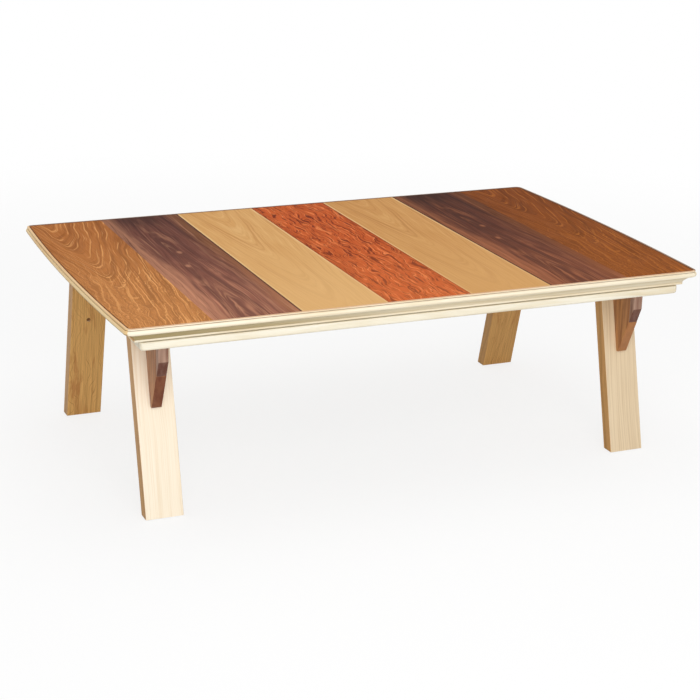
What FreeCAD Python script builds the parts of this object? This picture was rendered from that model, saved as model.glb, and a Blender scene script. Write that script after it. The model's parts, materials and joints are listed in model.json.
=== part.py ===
import FreeCAD, Part
import Sketcher
import math
import os
import re

from FreeCAD import Placement, Rotation, Vector

# A low table with a lift-off board, an under-frame, four splayed legs and a heater.
# Millimetres, +Z up, the origin on the floor under the middle, the front towards -Y.

SIZES = {
    # the whole table
    "table_length": 1350,
    "table_depth": 850,
    "table_height": 450,
    "end_bow": 12.5,
    "corner_radius": 18,
    # the lift-off board
    "board_thickness": 36,
    "veneer_thickness": 1,
    "backing_thickness": 1.2,
    "end_stripe_reach": 195,
    # the edge moulding's section, as insets from the outline and drops from the top
    "moulding_width": 30,
    "strip_width": 8,
    "quirk_inset": 3,
    "quirk_drop": 2.8,
    "quirk_depth": 1.2,
    "lip_drop": 14.5,
    "cove_land": 2.8,
    "cove_sag": 3,
    "bead_land": 2.5,
    "bead_height": 4.5,
    "bead_arris": 1.2,
    # the under-frame
    "pad_thickness": 2,
    "pad_radius": 11,
    "pad_margin": 38,
    "frame_end_inset": 49.5,
    "frame_side_inset": 25,
    "frame_corner_radius": 8,
    "frame_lower_round": 6,
    "frame_upper_round": 2,
    "rail_width": 80,
    "rail_thickness": 18,
    "end_board_width": 127.5,
    "dowel_radius": 4,
    "dowel_length": 50,
    "dowel_play": 1,
    # the legs
    "leg_inset": 23,
    "foot_inset": 58,
    "leg_width": 83,
    "leg_thickness": 32.5,
    "leg_lean": 100,
    "leg_edge_round": 1.5,
    "felt_thickness": 1.5,
    "felt_margin": 4,
    # the corner brackets
    "bracket_width": 22,
    "bracket_reach": 101,
    "bracket_height": 164,
    "bracket_nose": 48,
    "bracket_tip": 7,
    "bracket_strip": 16,
    # the fasteners
    "bolt_radius": 4,
    "bolt_depth": 50,
    "bolt_spacing": 50,
    "washer_radius": 8.5,
    "washer_thickness": 1.6,
    "nut_radius": 7.2,
    "nut_height": 5.6,
    "counterbore_radius": 9.5,
    "counterbore_depth": 8.5,
    "screw_radius": 2.5,
    "screw_head_radius": 4.8,
    "screw_head_height": 3,
    "top_screw_length": 45,
    "leg_screw_length": 46,
    "leg_screw_sink": 8,
    "fit_gap": 0.05,
    "seat_gap": 0.3,
    # the bars that carry the heater
    "heater_opening": 300,
    "bar_width": 30,
    "bar_thickness": 24,
    # the heater's housing
    "housing_clearance": 6,
    "housing_drop": 4,
    "housing_height": 56,
    "housing_sheet": 1.2,
    "housing_corner": 14,
    "flange_lap": 23,
    "flange_screw_inset": 11,
    "flange_screw_margin": 83,
    "flange_screw_radius": 2,
    "flange_screw_length": 20,
    "flange_head_radius": 4,
    "flange_head_height": 2.4,
    "vent_length": 70,
    "vent_width": 6,
    "vent_pitch": 14,
    "vent_margin": 16,
    # the bezel and the guard below it
    "bezel_lap": 13,
    "bezel_height": 24,
    "bezel_ledge": 10,
    "bezel_ledge_width": 16,
    "bezel_corner": 20,
    "bezel_round": 4,
    "guard_lap": 4,
    "guard_rim_width": 7,
    "guard_rim_height": 4,
    "guard_wire_radius": 0.85,
    "guard_wire_seat": 3,
    "guard_pitch": 13,
    "guard_tie_pitch": 84,
    # the reflector tray
    "tray_sheet": 0.8,
    "tray_mouth_inset": 8,
    "tray_slope_run": 24,
    "tray_height": 24.8,
    "tray_hole_radius": 48,
    # the quartz tubes
    "tube_radius": 6,
    "tube_wall": 1.2,
    "tube_end_gap": 4,
    "tube_spacing": 124,
    "tube_drop": 14,
    "holder_length": 12,
    "holder_width": 18,
    "holder_height": 22,
    # the fan and its motor
    "motor_radius": 27,
    "motor_height": 14,
    "shaft_radius": 2,
    "shaft_entry": 10,
    "hub_radius": 13,
    "hub_height": 11,
    "hub_gap": 1.2,
    "blade_reach": 43,
    "blade_chord": 15,
    "blade_thickness": 1.4,
    # the control parts on the tray
    "thermostat_radius": 9,
    "thermostat_height": 9,
    "fuse_radius": 3.5,
    "fuse_length": 22,
    "control_inset": 24,
    "terminal_length": 44,
    "terminal_width": 16,
    "terminal_height": 13,
    "inlet_width": 38,
    "inlet_height": 17,
    "inlet_reach": 7,
    "inlet_depth": 22,
    "inlet_wall": 2.5,
    "inlet_back": 4,
    "inlet_pin_radius": 1.6,
    "inlet_pin_spacing": 15,
    "inlet_pin_length": 12,
    "bezel_screw_radius": 1.5,
    "bezel_screw_length": 16,
    "bezel_screw_rise": 8,
    "bezel_head_radius": 3,
    "bezel_head_height": 2,
}
BLADE_COUNT = 7
BLADE_PITCH_DEGREES = 34
VENT_COUNT = 5
TOUCH_SHARE = 1e-4
OVERRUN = "table_height"

doc = FreeCAD.newDocument("kotatsu_table")
sheet = doc.addObject("Spreadsheet::Sheet", "sizes")
for row, (alias, number) in enumerate(SIZES.items(), start=1):
    sheet.set(f"A{row}", alias)
    sheet.set(f"B{row}", str(number))
    sheet.setAlias(f"B{row}", alias)
doc.recompute()
nodes = []


# Names, formulas and small builders
def formula(text):
    """The text with every size written as its cell of the sheet."""
    return re.sub(r"[a-z_]+", lambda word: f"sizes.{word[0]}" if word[0] in SIZES else word[0], text)


def value(text):
    """The number that a formula of sizes gives."""
    return float(sheet.evalExpression(formula(text)))


def bind(thing, formulas):
    for path, text in formulas.items():
        thing.setExpression(path, formula(text))


def node(thing, label):
    """Makes the object one of the table's pieces under its plain name."""
    thing.Label = label
    nodes.append(thing)
    return thing


def new_object(kind, name):
    thing = doc.addObject(kind, name)
    thing.Label = f"{name}_shape"
    return thing


def block(name, length, width, height, centre_x, centre_y, bottom):
    box = new_object("Part::Box", name)
    bind(box, {
        "Length": length,
        "Width": width,
        "Height": height,
        "Placement.Base.x": f"{centre_x} - ({length}) / 2",
        "Placement.Base.y": f"{centre_y} - ({width}) / 2",
        "Placement.Base.z": bottom,
    })
    return box


def rod(name, radius, length, start, direction=(0, 0, 1)):
    cylinder = new_object("Part::Cylinder", name)
    cylinder.Placement = Placement(Vector(), Rotation(Vector(0, 0, 1), Vector(*direction)))
    bind(cylinder, {
        "Radius": radius,
        "Height": length,
        "Placement.Base.x": start[0],
        "Placement.Base.y": start[1],
        "Placement.Base.z": start[2],
    })
    return cylinder


def fuse(name, shapes):
    union = new_object("Part::MultiFuse", name)
    union.Shapes = shapes
    return union


def group(name, shapes):
    compound = new_object("Part::Compound", name)
    compound.Links = shapes
    return compound


def cut(name, base, tools):
    tool = tools[0] if len(tools) == 1 else fuse(f"{name}_tools", tools)
    result = new_object("Part::Cut", name)
    result.Base = base
    result.Tool = tool
    return result


# Bodies with sketches and features
def new_body(label):
    return node(doc.addObject("PartDesign::Body", label), label)


def new_sketch(body, role, offset):
    sketch = body.newObject("Sketcher::SketchObject", f"{body.Name}_sketch")
    support = next(item for item in body.Origin.OriginFeatures if item.Role == role)
    sketch.AttachmentSupport = [(support, "")]
    sketch.MapMode = "FlatFace"
    bind(sketch, {"AttachmentOffset.Base.z": offset})
    return sketch


def constrain(sketch, kind, places, text):
    index = sketch.addConstraint(Sketcher.Constraint(kind, *places, value(text)))
    sketch.setExpression(f"Constraints[{index}]", formula(text))


def join(sketch, *places):
    sketch.addConstraint(Sketcher.Constraint("Coincident", *places))


def draw_outline(sketch, points, arcs=()):
    """A closed outline through the points; arcs maps a side's number to its radius."""
    arcs = dict(arcs)
    places = [Vector(value(x), value(y), 0) for x, y in points]
    count = len(places)
    for index, place in enumerate(places):
        following = places[(index + 1) % count]
        if index in arcs:
            radius = value(arcs[index])
            middle = (place + following) / 2
            half = (following - place).Length / 2
            inward = Vector(0, 0, 1).cross(following - place).normalize()
            centre = middle + inward * math.sqrt(radius ** 2 - half ** 2)
            outward = centre - inward * radius
            sketch.addGeometry(Part.Arc(place, outward, following), False)
        else:
            sketch.addGeometry(Part.LineSegment(place, following), False)
    for index, (x, y) in enumerate(points):
        join(sketch, index, 2, (index + 1) % count, 1)
        constrain(sketch, "DistanceX", (-1, 1, index, 1), x)
        constrain(sketch, "DistanceY", (-1, 1, index, 1), y)
    for index, radius in arcs.items():
        constrain(sketch, "Radius", (index,), radius)


def draw_rounded_square(sketch, size, radius):
    """A square about the origin with round corners."""
    reach = f"({size}) / 2 - ({radius})"
    inner = value(reach)
    turn = value(radius)
    for index in range(4):
        start = index * math.pi / 2
        across = -1 if index in (1, 2) else 1
        along = -1 if index in (2, 3) else 1
        circle = Part.Circle(Vector(across * inner, along * inner, 0), Vector(0, 0, 1), turn)
        sketch.addGeometry(Part.ArcOfCircle(circle, start, start + math.pi / 2), False)
        constrain(sketch, "DistanceX", (-1, 1, index, 3), f"{across} * ({reach})")
        constrain(sketch, "DistanceY", (-1, 1, index, 3), f"{along} * ({reach})")
        constrain(sketch, "Radius", (index,), radius)
        level, upright = ("Horizontal", "Vertical") if index % 2 == 0 else ("Vertical", "Horizontal")
        sketch.addConstraint(Sketcher.Constraint(level, index, 3, index, 1))
        sketch.addConstraint(Sketcher.Constraint(upright, index, 3, index, 2))
    doc.recompute()
    for index in range(4):
        following = (index + 1) % 4
        side = Part.LineSegment(sketch.getPoint(index, 2), sketch.getPoint(following, 1))
        line = sketch.addGeometry(side, False)
        join(sketch, index, 2, line, 1)
        join(sketch, line, 2, following, 1)


def pad(body, sketch, length):
    feature = body.newObject("PartDesign::Pad", f"{body.Name}_pad")
    feature.Profile = sketch
    sketch.Visibility = False
    bind(feature, {"Length": length})
    doc.recompute()
    return feature


def pocket_upward(body, sketch, depth):
    feature = body.newObject("PartDesign::Pocket", f"{body.Name}_pocket")
    feature.Profile = sketch
    feature.Reversed = True
    bind(feature, {"Length": depth})
    before = body.Shape.Volume
    doc.recompute()
    if body.Shape.Volume >= before:
        raise RuntimeError(f"{body.Label}: a pocket cut nothing")
    return feature


def bore(body, radius, depth, start, direction=(0, 0, 1)):
    """A round hole from a start point, along a direction."""
    hole = body.newObject("PartDesign::SubtractiveCylinder", f"{body.Name}_bore")
    hole.Placement = Placement(Vector(), Rotation(Vector(0, 0, 1), Vector(*direction)))
    bind(hole, {
        "Radius": radius,
        "Height": depth,
        "Placement.Base.x": start[0],
        "Placement.Base.y": start[1],
        "Placement.Base.z": start[2],
    })
    before = body.Shape.Volume
    doc.recompute()
    if body.Shape.Volume >= before:
        raise RuntimeError(f"{body.Label}: a bore cut nothing")


def round_edges(body, radius, chosen):
    """Rounds the edges for which the test is true."""
    base = body.Tip
    names = [f"Edge{index}" for index, edge in enumerate(base.Shape.Edges, start=1) if chosen(edge)]
    feature = body.newObject("PartDesign::Fillet", f"{body.Name}_round")
    feature.Base = (base, names)
    bind(feature, {"Radius": radius})
    doc.recompute()


def is_upright(edge):
    return edge.Curve.TypeId == "Part::GeomLine" and abs(edge.tangentAt(edge.FirstParameter).z) > 0.99


def lies_at(edge, axis, place):
    """True where the whole edge lies in the plane at that place on the axis."""
    low = getattr(edge.BoundBox, f"{axis}Min")
    high = getattr(edge.BoundBox, f"{axis}Max")
    return abs(low - place) < edge.Length * TOUCH_SHARE and abs(high - place) < edge.Length * TOUCH_SHARE


# Levels and places that several pieces share
BOARD_BOTTOM = "(table_height - board_thickness)"
FRAME_TOP = f"({BOARD_BOTTOM} - pad_thickness)"
FRAME_BOTTOM = f"({FRAME_TOP} - rail_thickness)"
RAIL_MIDDLE = f"({FRAME_BOTTOM} + rail_thickness / 2)"
HALF_LENGTH = "(table_length / 2 - frame_end_inset)"
HALF_DEPTH = "(table_depth / 2 - frame_side_inset)"
RAIL_INSIDE = f"({HALF_DEPTH} - rail_width)"
LEG_CENTRE = f"({HALF_LENGTH} - leg_inset - leg_width / 2)"
FOOT_REACH = f"({HALF_DEPTH} - foot_inset)"
LEAN = f"(leg_lean / ({FRAME_BOTTOM} - felt_thickness))"
END_RADIUS = "((table_depth ^ 2 / 4 + end_bow ^ 2) / (2 * end_bow))"
SIDES = {"left": -1, "right": 1}
DEPTHS = {"front": -1, "back": 1}


def leg_face(height):
    """Distance from the middle plane to the legs' outer wide face at a height."""
    return f"({FOOT_REACH} - {LEAN} * ({height} - felt_thickness))"


# The board: a plate with bowed ends, seven veneer stripes, a backing and a moulded edge
def end_corner(inset):
    """Where the bowed end meets the straight edge of the outline at an inset."""
    rise = f"sqrt(({END_RADIUS} - {inset}) ^ 2 - (table_depth / 2 - {inset}) ^ 2)"
    return f"(table_length / 2 - {END_RADIUS} + {rise})"


def board_plate(label, inset, bottom, thickness, left=None, right=None):
    """A plate of the board's outline at an inset, or the stretch of it between two places."""
    reach = f"(table_depth / 2 - {inset})"
    start = left or f"-{end_corner(inset)}"
    finish = right or end_corner(inset)
    points = [(start, f"-{reach}"), (finish, f"-{reach}"), (finish, reach), (start, reach)]
    arcs = {}
    if right is None:
        arcs[1] = f"{END_RADIUS} - {inset}"
    if left is None:
        arcs[3] = f"{END_RADIUS} - {inset}"
    body = new_body(label)
    sketch = new_sketch(body, "XY_Plane", bottom)
    draw_outline(sketch, points, arcs)
    pad(body, sketch, thickness)
    bowed = [side for side, place in ((-1, left), (1, right)) if place is None]
    if bowed and value(f"corner_radius - {inset}") > 0:
        centre = value(f"({start} + {finish}) / 2")
        round_edges(body, f"corner_radius - {inset}", lambda edge: is_upright(edge) and any(
            (edge.CenterOfMass.x - centre) * side > 0 for side in bowed))


board_plate("top_core", "moulding_width", f"{BOARD_BOTTOM} + backing_thickness",
            "board_thickness - veneer_thickness - backing_thickness")
board_plate("top_backing", "moulding_width", BOARD_BOTTOM, "backing_thickness")

STRIPE_NAMES = ("veneer_zelkova_left", "veneer_walnut_left", "veneer_maple_left", "veneer_cherry_centre",
                "veneer_maple_right", "veneer_walnut_right", "veneer_zelkova_right")
middle = (len(STRIPE_NAMES) - 1) / 2
INNER_STRIPES = len(STRIPE_NAMES[1:-1])
STRIPE_WIDTH = f"((table_length - 2 * end_stripe_reach) / {INNER_STRIPES})"
for index, label in enumerate(STRIPE_NAMES):
    left = f"({index - middle - 0.5} * {STRIPE_WIDTH})" if index > 0 else None
    right = f"({index - middle + 0.5} * {STRIPE_WIDTH})" if index < len(STRIPE_NAMES) - 1 else None
    board_plate(label, "strip_width", "table_height - veneer_thickness", "veneer_thickness", left, right)


def moulding_section():
    """The moulding's section: x is outward from 0 at the outline, z is down from 0 at the top."""
    size = {alias: value(alias) for alias in SIZES}
    width = size["moulding_width"]
    strip = size["strip_width"]
    quirk = size["quirk_inset"]
    groove = quirk + size["quirk_depth"]
    lip = size["lip_drop"]
    bottom = -size["board_thickness"]
    cove_top = Vector(-groove - size["cove_land"], 0, -lip)
    cove_foot = Vector(size["bead_land"] - width, 0, bottom + size["bead_height"])
    chord = cove_foot - cove_top
    normal = Vector(chord.z, 0, -chord.x).normalize()
    cove_middle = (cove_top + cove_foot) / 2 + normal * size["cove_sag"]
    arris = size["bead_arris"]
    bead_top = Vector(cove_foot.x + arris, 0, cove_foot.z)
    bead_side = Vector(bead_top.x, 0, bottom + arris)
    bead_foot = Vector(cove_foot.x, 0, bottom)
    rebate = -size["veneer_thickness"]
    drop = -size["quirk_drop"]
    lip_top = Vector(-groove, 0, drop - size["quirk_depth"])
    lip_foot = Vector(-groove, 0, -lip)
    edges = [
        Part.LineSegment(Vector(-strip, 0, 0), Vector(-quirk, 0, 0)),
        Part.LineSegment(Vector(-quirk, 0, 0), Vector(-quirk, 0, drop)),
        Part.LineSegment(Vector(-quirk, 0, drop), Vector(-groove, 0, drop)),
        Part.LineSegment(Vector(-groove, 0, drop), lip_top),
        Part.Arc(lip_top, Vector(0, 0, (lip_top.z + lip_foot.z) / 2), lip_foot),
        Part.LineSegment(lip_foot, cove_top),
        Part.Arc(cove_top, cove_middle, cove_foot),
        Part.LineSegment(cove_foot, bead_top),
        Part.LineSegment(bead_top, bead_side),
        Part.LineSegment(bead_side, bead_foot),
        Part.LineSegment(bead_foot, Vector(-width, 0, bottom)),
        Part.LineSegment(Vector(-width, 0, bottom), Vector(-width, 0, rebate)),
        Part.LineSegment(Vector(-width, 0, rebate), Vector(-strip, 0, rebate)),
        Part.LineSegment(Vector(-strip, 0, rebate), Vector(-strip, 0, 0)),
    ]
    return Part.Face(Part.Wire([edge.toShape() for edge in edges]))


def beyond_mitre(corner, degrees, side):
    """The space past a mitre that runs through a corner's centre at an angle from outward."""
    reach = value("table_depth")
    along = Vector(math.cos(math.radians(degrees)), side * math.sin(math.radians(degrees)), 0)
    across = Vector(-side * along.y, side * along.x, 0)
    start = corner - along * reach - UP * reach
    face = Part.makePolygon([start, start + along * 2 * reach, start + along * 2 * reach + across * reach,
                             start + across * reach, start])
    return Part.Face(face).extrude(UP * 2 * reach)


def moulding_piece(label, outward_degrees, length, corners, degrees, rounded_face):
    """One mitred length: a side, and the near half of each round corner."""
    halves = []
    for side, corner, start_degrees in corners:
        length = length.cut(beyond_mitre(corner, start_degrees + degrees, side))
        half = rounded_face.rotated(Vector(), UP, side * start_degrees)
        half.translate(corner)
        halves.append(half.revolve(corner, UP, side * degrees))
    piece = node(doc.addObject("Part::Feature", label), label)
    piece.Shape = length.fuse(halves).removeSplitter()
    turn = Rotation(Vector(0, 0, 1), outward_degrees)
    piece.Placement = Placement(Vector(0, 0, value("table_height")), turn)


UP = Vector(0, 0, 1)
section = moulding_section()
corner_radius = value("corner_radius")
half_depth = value("table_depth / 2")
half_length = value("table_length / 2")
end_radius = value(END_RADIUS)
corner_y = half_depth - corner_radius
corner_x = half_length - end_radius + math.sqrt((end_radius - corner_radius) ** 2 - corner_y ** 2)
bow_degrees = math.degrees(math.asin(corner_y / (end_radius - corner_radius)))
corner_degrees = (90 - bow_degrees) / 2

# only the section's outer part goes round the corner: further in, the two lengths meet in a sharp mitre
outer_part = Part.makeBox(corner_radius + 1, 2, half_length, Vector(-corner_radius, -1, -half_length / 2))
rounded_face = section.common(outer_part).Faces[0].translated(Vector(corner_radius, 0, 0))

for label, outward in (("edge_moulding_front", -90), ("edge_moulding_back", 90)):
    start = section.translated(Vector(half_depth, -corner_x, 0))
    length = start.extrude(Vector(0, 2 * corner_x, 0))
    corners = [(side, Vector(corner_y, side * corner_x, 0), 0) for side in (-1, 1)]
    moulding_piece(label, outward, length, corners, corner_degrees, rounded_face)

for label, outward in (("edge_moulding_right", 0), ("edge_moulding_left", 180)):
    bow_centre = Vector(half_length - end_radius, 0, 0)
    start = section.translated(Vector(half_length, 0, 0)).rotated(bow_centre, UP, -bow_degrees)
    length = start.revolve(bow_centre, UP, 2 * bow_degrees)
    corners = [(side, Vector(corner_x, side * corner_y, 0), bow_degrees) for side in (-1, 1)]
    moulding_piece(label, outward, length, corners, corner_degrees, rounded_face)


# The under-frame: two long rails, two end boards, four bars round the heater, dowels and pads
def outer_rounding(body, corners, faces):
    """Rounds upright outer corners, then the lower and upper edges of the outer faces."""
    if corners:
        round_edges(body, "frame_corner_radius", corners)
    for level, radius in ((FRAME_BOTTOM, "frame_lower_round"), (FRAME_TOP, "frame_upper_round")):
        height = value(level)
        round_edges(body, radius, lambda edge: lies_at(edge, "Z", height) and faces(edge))


frame_half_length = value(HALF_LENGTH)
frame_half_depth = value(HALF_DEPTH)
inner_edge = value(RAIL_INSIDE)
for depth, sign in DEPTHS.items():
    rail = new_body(f"frame_rail_{depth}")
    sketch = new_sketch(rail, "XY_Plane", FRAME_BOTTOM)
    outside = f"{sign} * {HALF_DEPTH}"
    inside = f"{sign} * {RAIL_INSIDE}"
    draw_outline(sketch, [(f"-{HALF_LENGTH}", inside), (HALF_LENGTH, inside),
                          (HALF_LENGTH, outside), (f"-{HALF_LENGTH}", outside)])
    pad(rail, sketch, "rail_thickness")
    outer_rounding(
        rail,
        lambda edge: is_upright(edge) and edge.CenterOfMass.y * sign > (inner_edge + frame_half_depth) / 2,
        lambda edge: abs(edge.CenterOfMass.y) > inner_edge + (frame_half_depth - inner_edge) * TOUCH_SHARE)

for side, sign in SIDES.items():
    board = new_body(f"end_board_{side}")
    sketch = new_sketch(board, "XY_Plane", FRAME_BOTTOM)
    outside = f"{sign} * {HALF_LENGTH}"
    inside = f"{sign} * ({HALF_LENGTH} - end_board_width)"
    draw_outline(sketch, [(inside, f"-{RAIL_INSIDE}"), (outside, f"-{RAIL_INSIDE}"),
                          (outside, RAIL_INSIDE), (inside, RAIL_INSIDE)])
    pad(board, sketch, "rail_thickness")
    outer_rounding(board, None, lambda edge: lies_at(edge, "X", sign * frame_half_length))

BAR_BOTTOM = f"({FRAME_TOP} - bar_thickness)"
BAR_CENTRE = "((heater_opening + bar_width) / 2)"
for side, sign in SIDES.items():
    bar = new_body(f"heater_bar_{side}")
    near = f"{sign} * heater_opening / 2"
    far = f"{sign} * (heater_opening / 2 + bar_width)"
    sketch = new_sketch(bar, "XY_Plane", BAR_BOTTOM)
    draw_outline(sketch, [(near, f"-{RAIL_INSIDE}"), (far, f"-{RAIL_INSIDE}"),
                          (far, RAIL_INSIDE), (near, RAIL_INSIDE)])
    pad(bar, sketch, "bar_thickness")
for depth, sign in DEPTHS.items():
    bar = new_body(f"heater_crossbar_{depth}")
    near = f"{sign} * heater_opening / 2"
    far = f"{sign} * (heater_opening / 2 + bar_width)"
    sketch = new_sketch(bar, "XY_Plane", BAR_BOTTOM)
    draw_outline(sketch, [("-heater_opening / 2", near), ("heater_opening / 2", near),
                          ("heater_opening / 2", far), ("-heater_opening / 2", far)])
    pad(bar, sketch, "bar_thickness")


def body_named(label):
    return next(item for item in nodes if item.Label == label)


# Each dowel is centred on its joint and sits in a hole in both pieces
dowels = []
DOWEL_SHARES = (0.24, 0.76)
HOLE_LENGTH = "(dowel_length + 2 * dowel_play)"


def add_dowel(pieces, centre, direction):
    number = len(dowels)
    start = list(centre)
    hole_start = list(centre)
    axis = 0 if direction[0] else 1
    start[axis] = f"{centre[axis]} - dowel_length / 2"
    hole_start[axis] = f"{centre[axis]} - {HOLE_LENGTH} / 2"
    dowels.append(rod(f"dowel_{number}", "dowel_radius", "dowel_length", start, direction))
    for piece in pieces:
        bore(body_named(piece), "dowel_radius + fit_gap", HOLE_LENGTH, hole_start, direction)


for depth, depth_sign in DEPTHS.items():
    for side, side_sign in SIDES.items():
        for share in DOWEL_SHARES:
            joint_y = f"{depth_sign} * {RAIL_INSIDE}"
            board_x = f"{side_sign} * ({HALF_LENGTH} - {share} * end_board_width)"
            add_dowel((f"frame_rail_{depth}", f"end_board_{side}"),
                      (board_x, joint_y, RAIL_MIDDLE), (0, 1, 0))
            bar_x = f"{side_sign} * (heater_opening / 2 + {share} * bar_width)"
            add_dowel((f"frame_rail_{depth}", f"heater_bar_{side}"),
                      (bar_x, joint_y, RAIL_MIDDLE), (0, 1, 0))
            bar_y = f"{depth_sign} * (heater_opening / 2 + {share} * bar_width)"
            add_dowel((f"heater_crossbar_{depth}", f"heater_bar_{side}"),
                      (f"{side_sign} * heater_opening / 2", bar_y, RAIL_MIDDLE), (1, 0, 0))
node(group("frame_dowels", dowels), "frame_dowels")

pads = []
for side_sign in (-1, 0, 1):
    for depth_sign in (-1, 1):
        centre_x = f"{side_sign} * ({HALF_LENGTH} - pad_margin)"
        centre_y = f"{depth_sign} * ({HALF_DEPTH} - rail_width / 2)"
        pads.append(rod(f"pad_{len(pads)}", "pad_radius", "pad_thickness", (centre_x, centre_y, FRAME_TOP)))
node(group("top_pads", pads), "top_pads")


# Legs: planks that lean out to the foot, with a felt under each
BOLT_SLIDE = f"({LEAN} * bolt_depth / 2)"
BOLT_Y = f"({leg_face(FRAME_BOTTOM)} - leg_thickness / 2 + {BOLT_SLIDE})"
NOSE_Y = f"({leg_face(FRAME_BOTTOM)} + bracket_reach)"
BRACKET_BOTTOM = f"({FRAME_BOTTOM} - bracket_height)"
TIP_Y = f"({leg_face(BRACKET_BOTTOM)} + bracket_tip)"
GLUE_Y = f"({NOSE_Y} - bracket_strip)"
SLANT = f"((bracket_height - bracket_nose) / ({NOSE_Y} - {TIP_Y}))"
GLUE_BOTTOM = f"({FRAME_BOTTOM} - bracket_nose - bracket_strip * {SLANT})"
TOP_SCREW_SHARES = (0.24, 0.6)
LEG_SCREW_SHARES = (0.26, 0.82)
bolts = []
washers = []
nuts = []
top_screws = []
leg_screws = []
felts = []


def screw(name, length, head_end, direction):
    """A countersunk screw: its head's top at head_end, its shank along the direction."""
    head = new_object("Part::Cone", f"{name}_head")
    head.Placement = Placement(Vector(), Rotation(Vector(0, 0, 1), Vector(*direction)))
    bind(head, {
        "Radius1": "screw_head_radius",
        "Radius2": "screw_radius",
        "Height": "screw_head_height",
        "Placement.Base.x": head_end[0],
        "Placement.Base.y": head_end[1],
        "Placement.Base.z": head_end[2],
    })
    return fuse(name, [head, rod(f"{name}_shank", "screw_radius", length, head_end, direction)])


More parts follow.
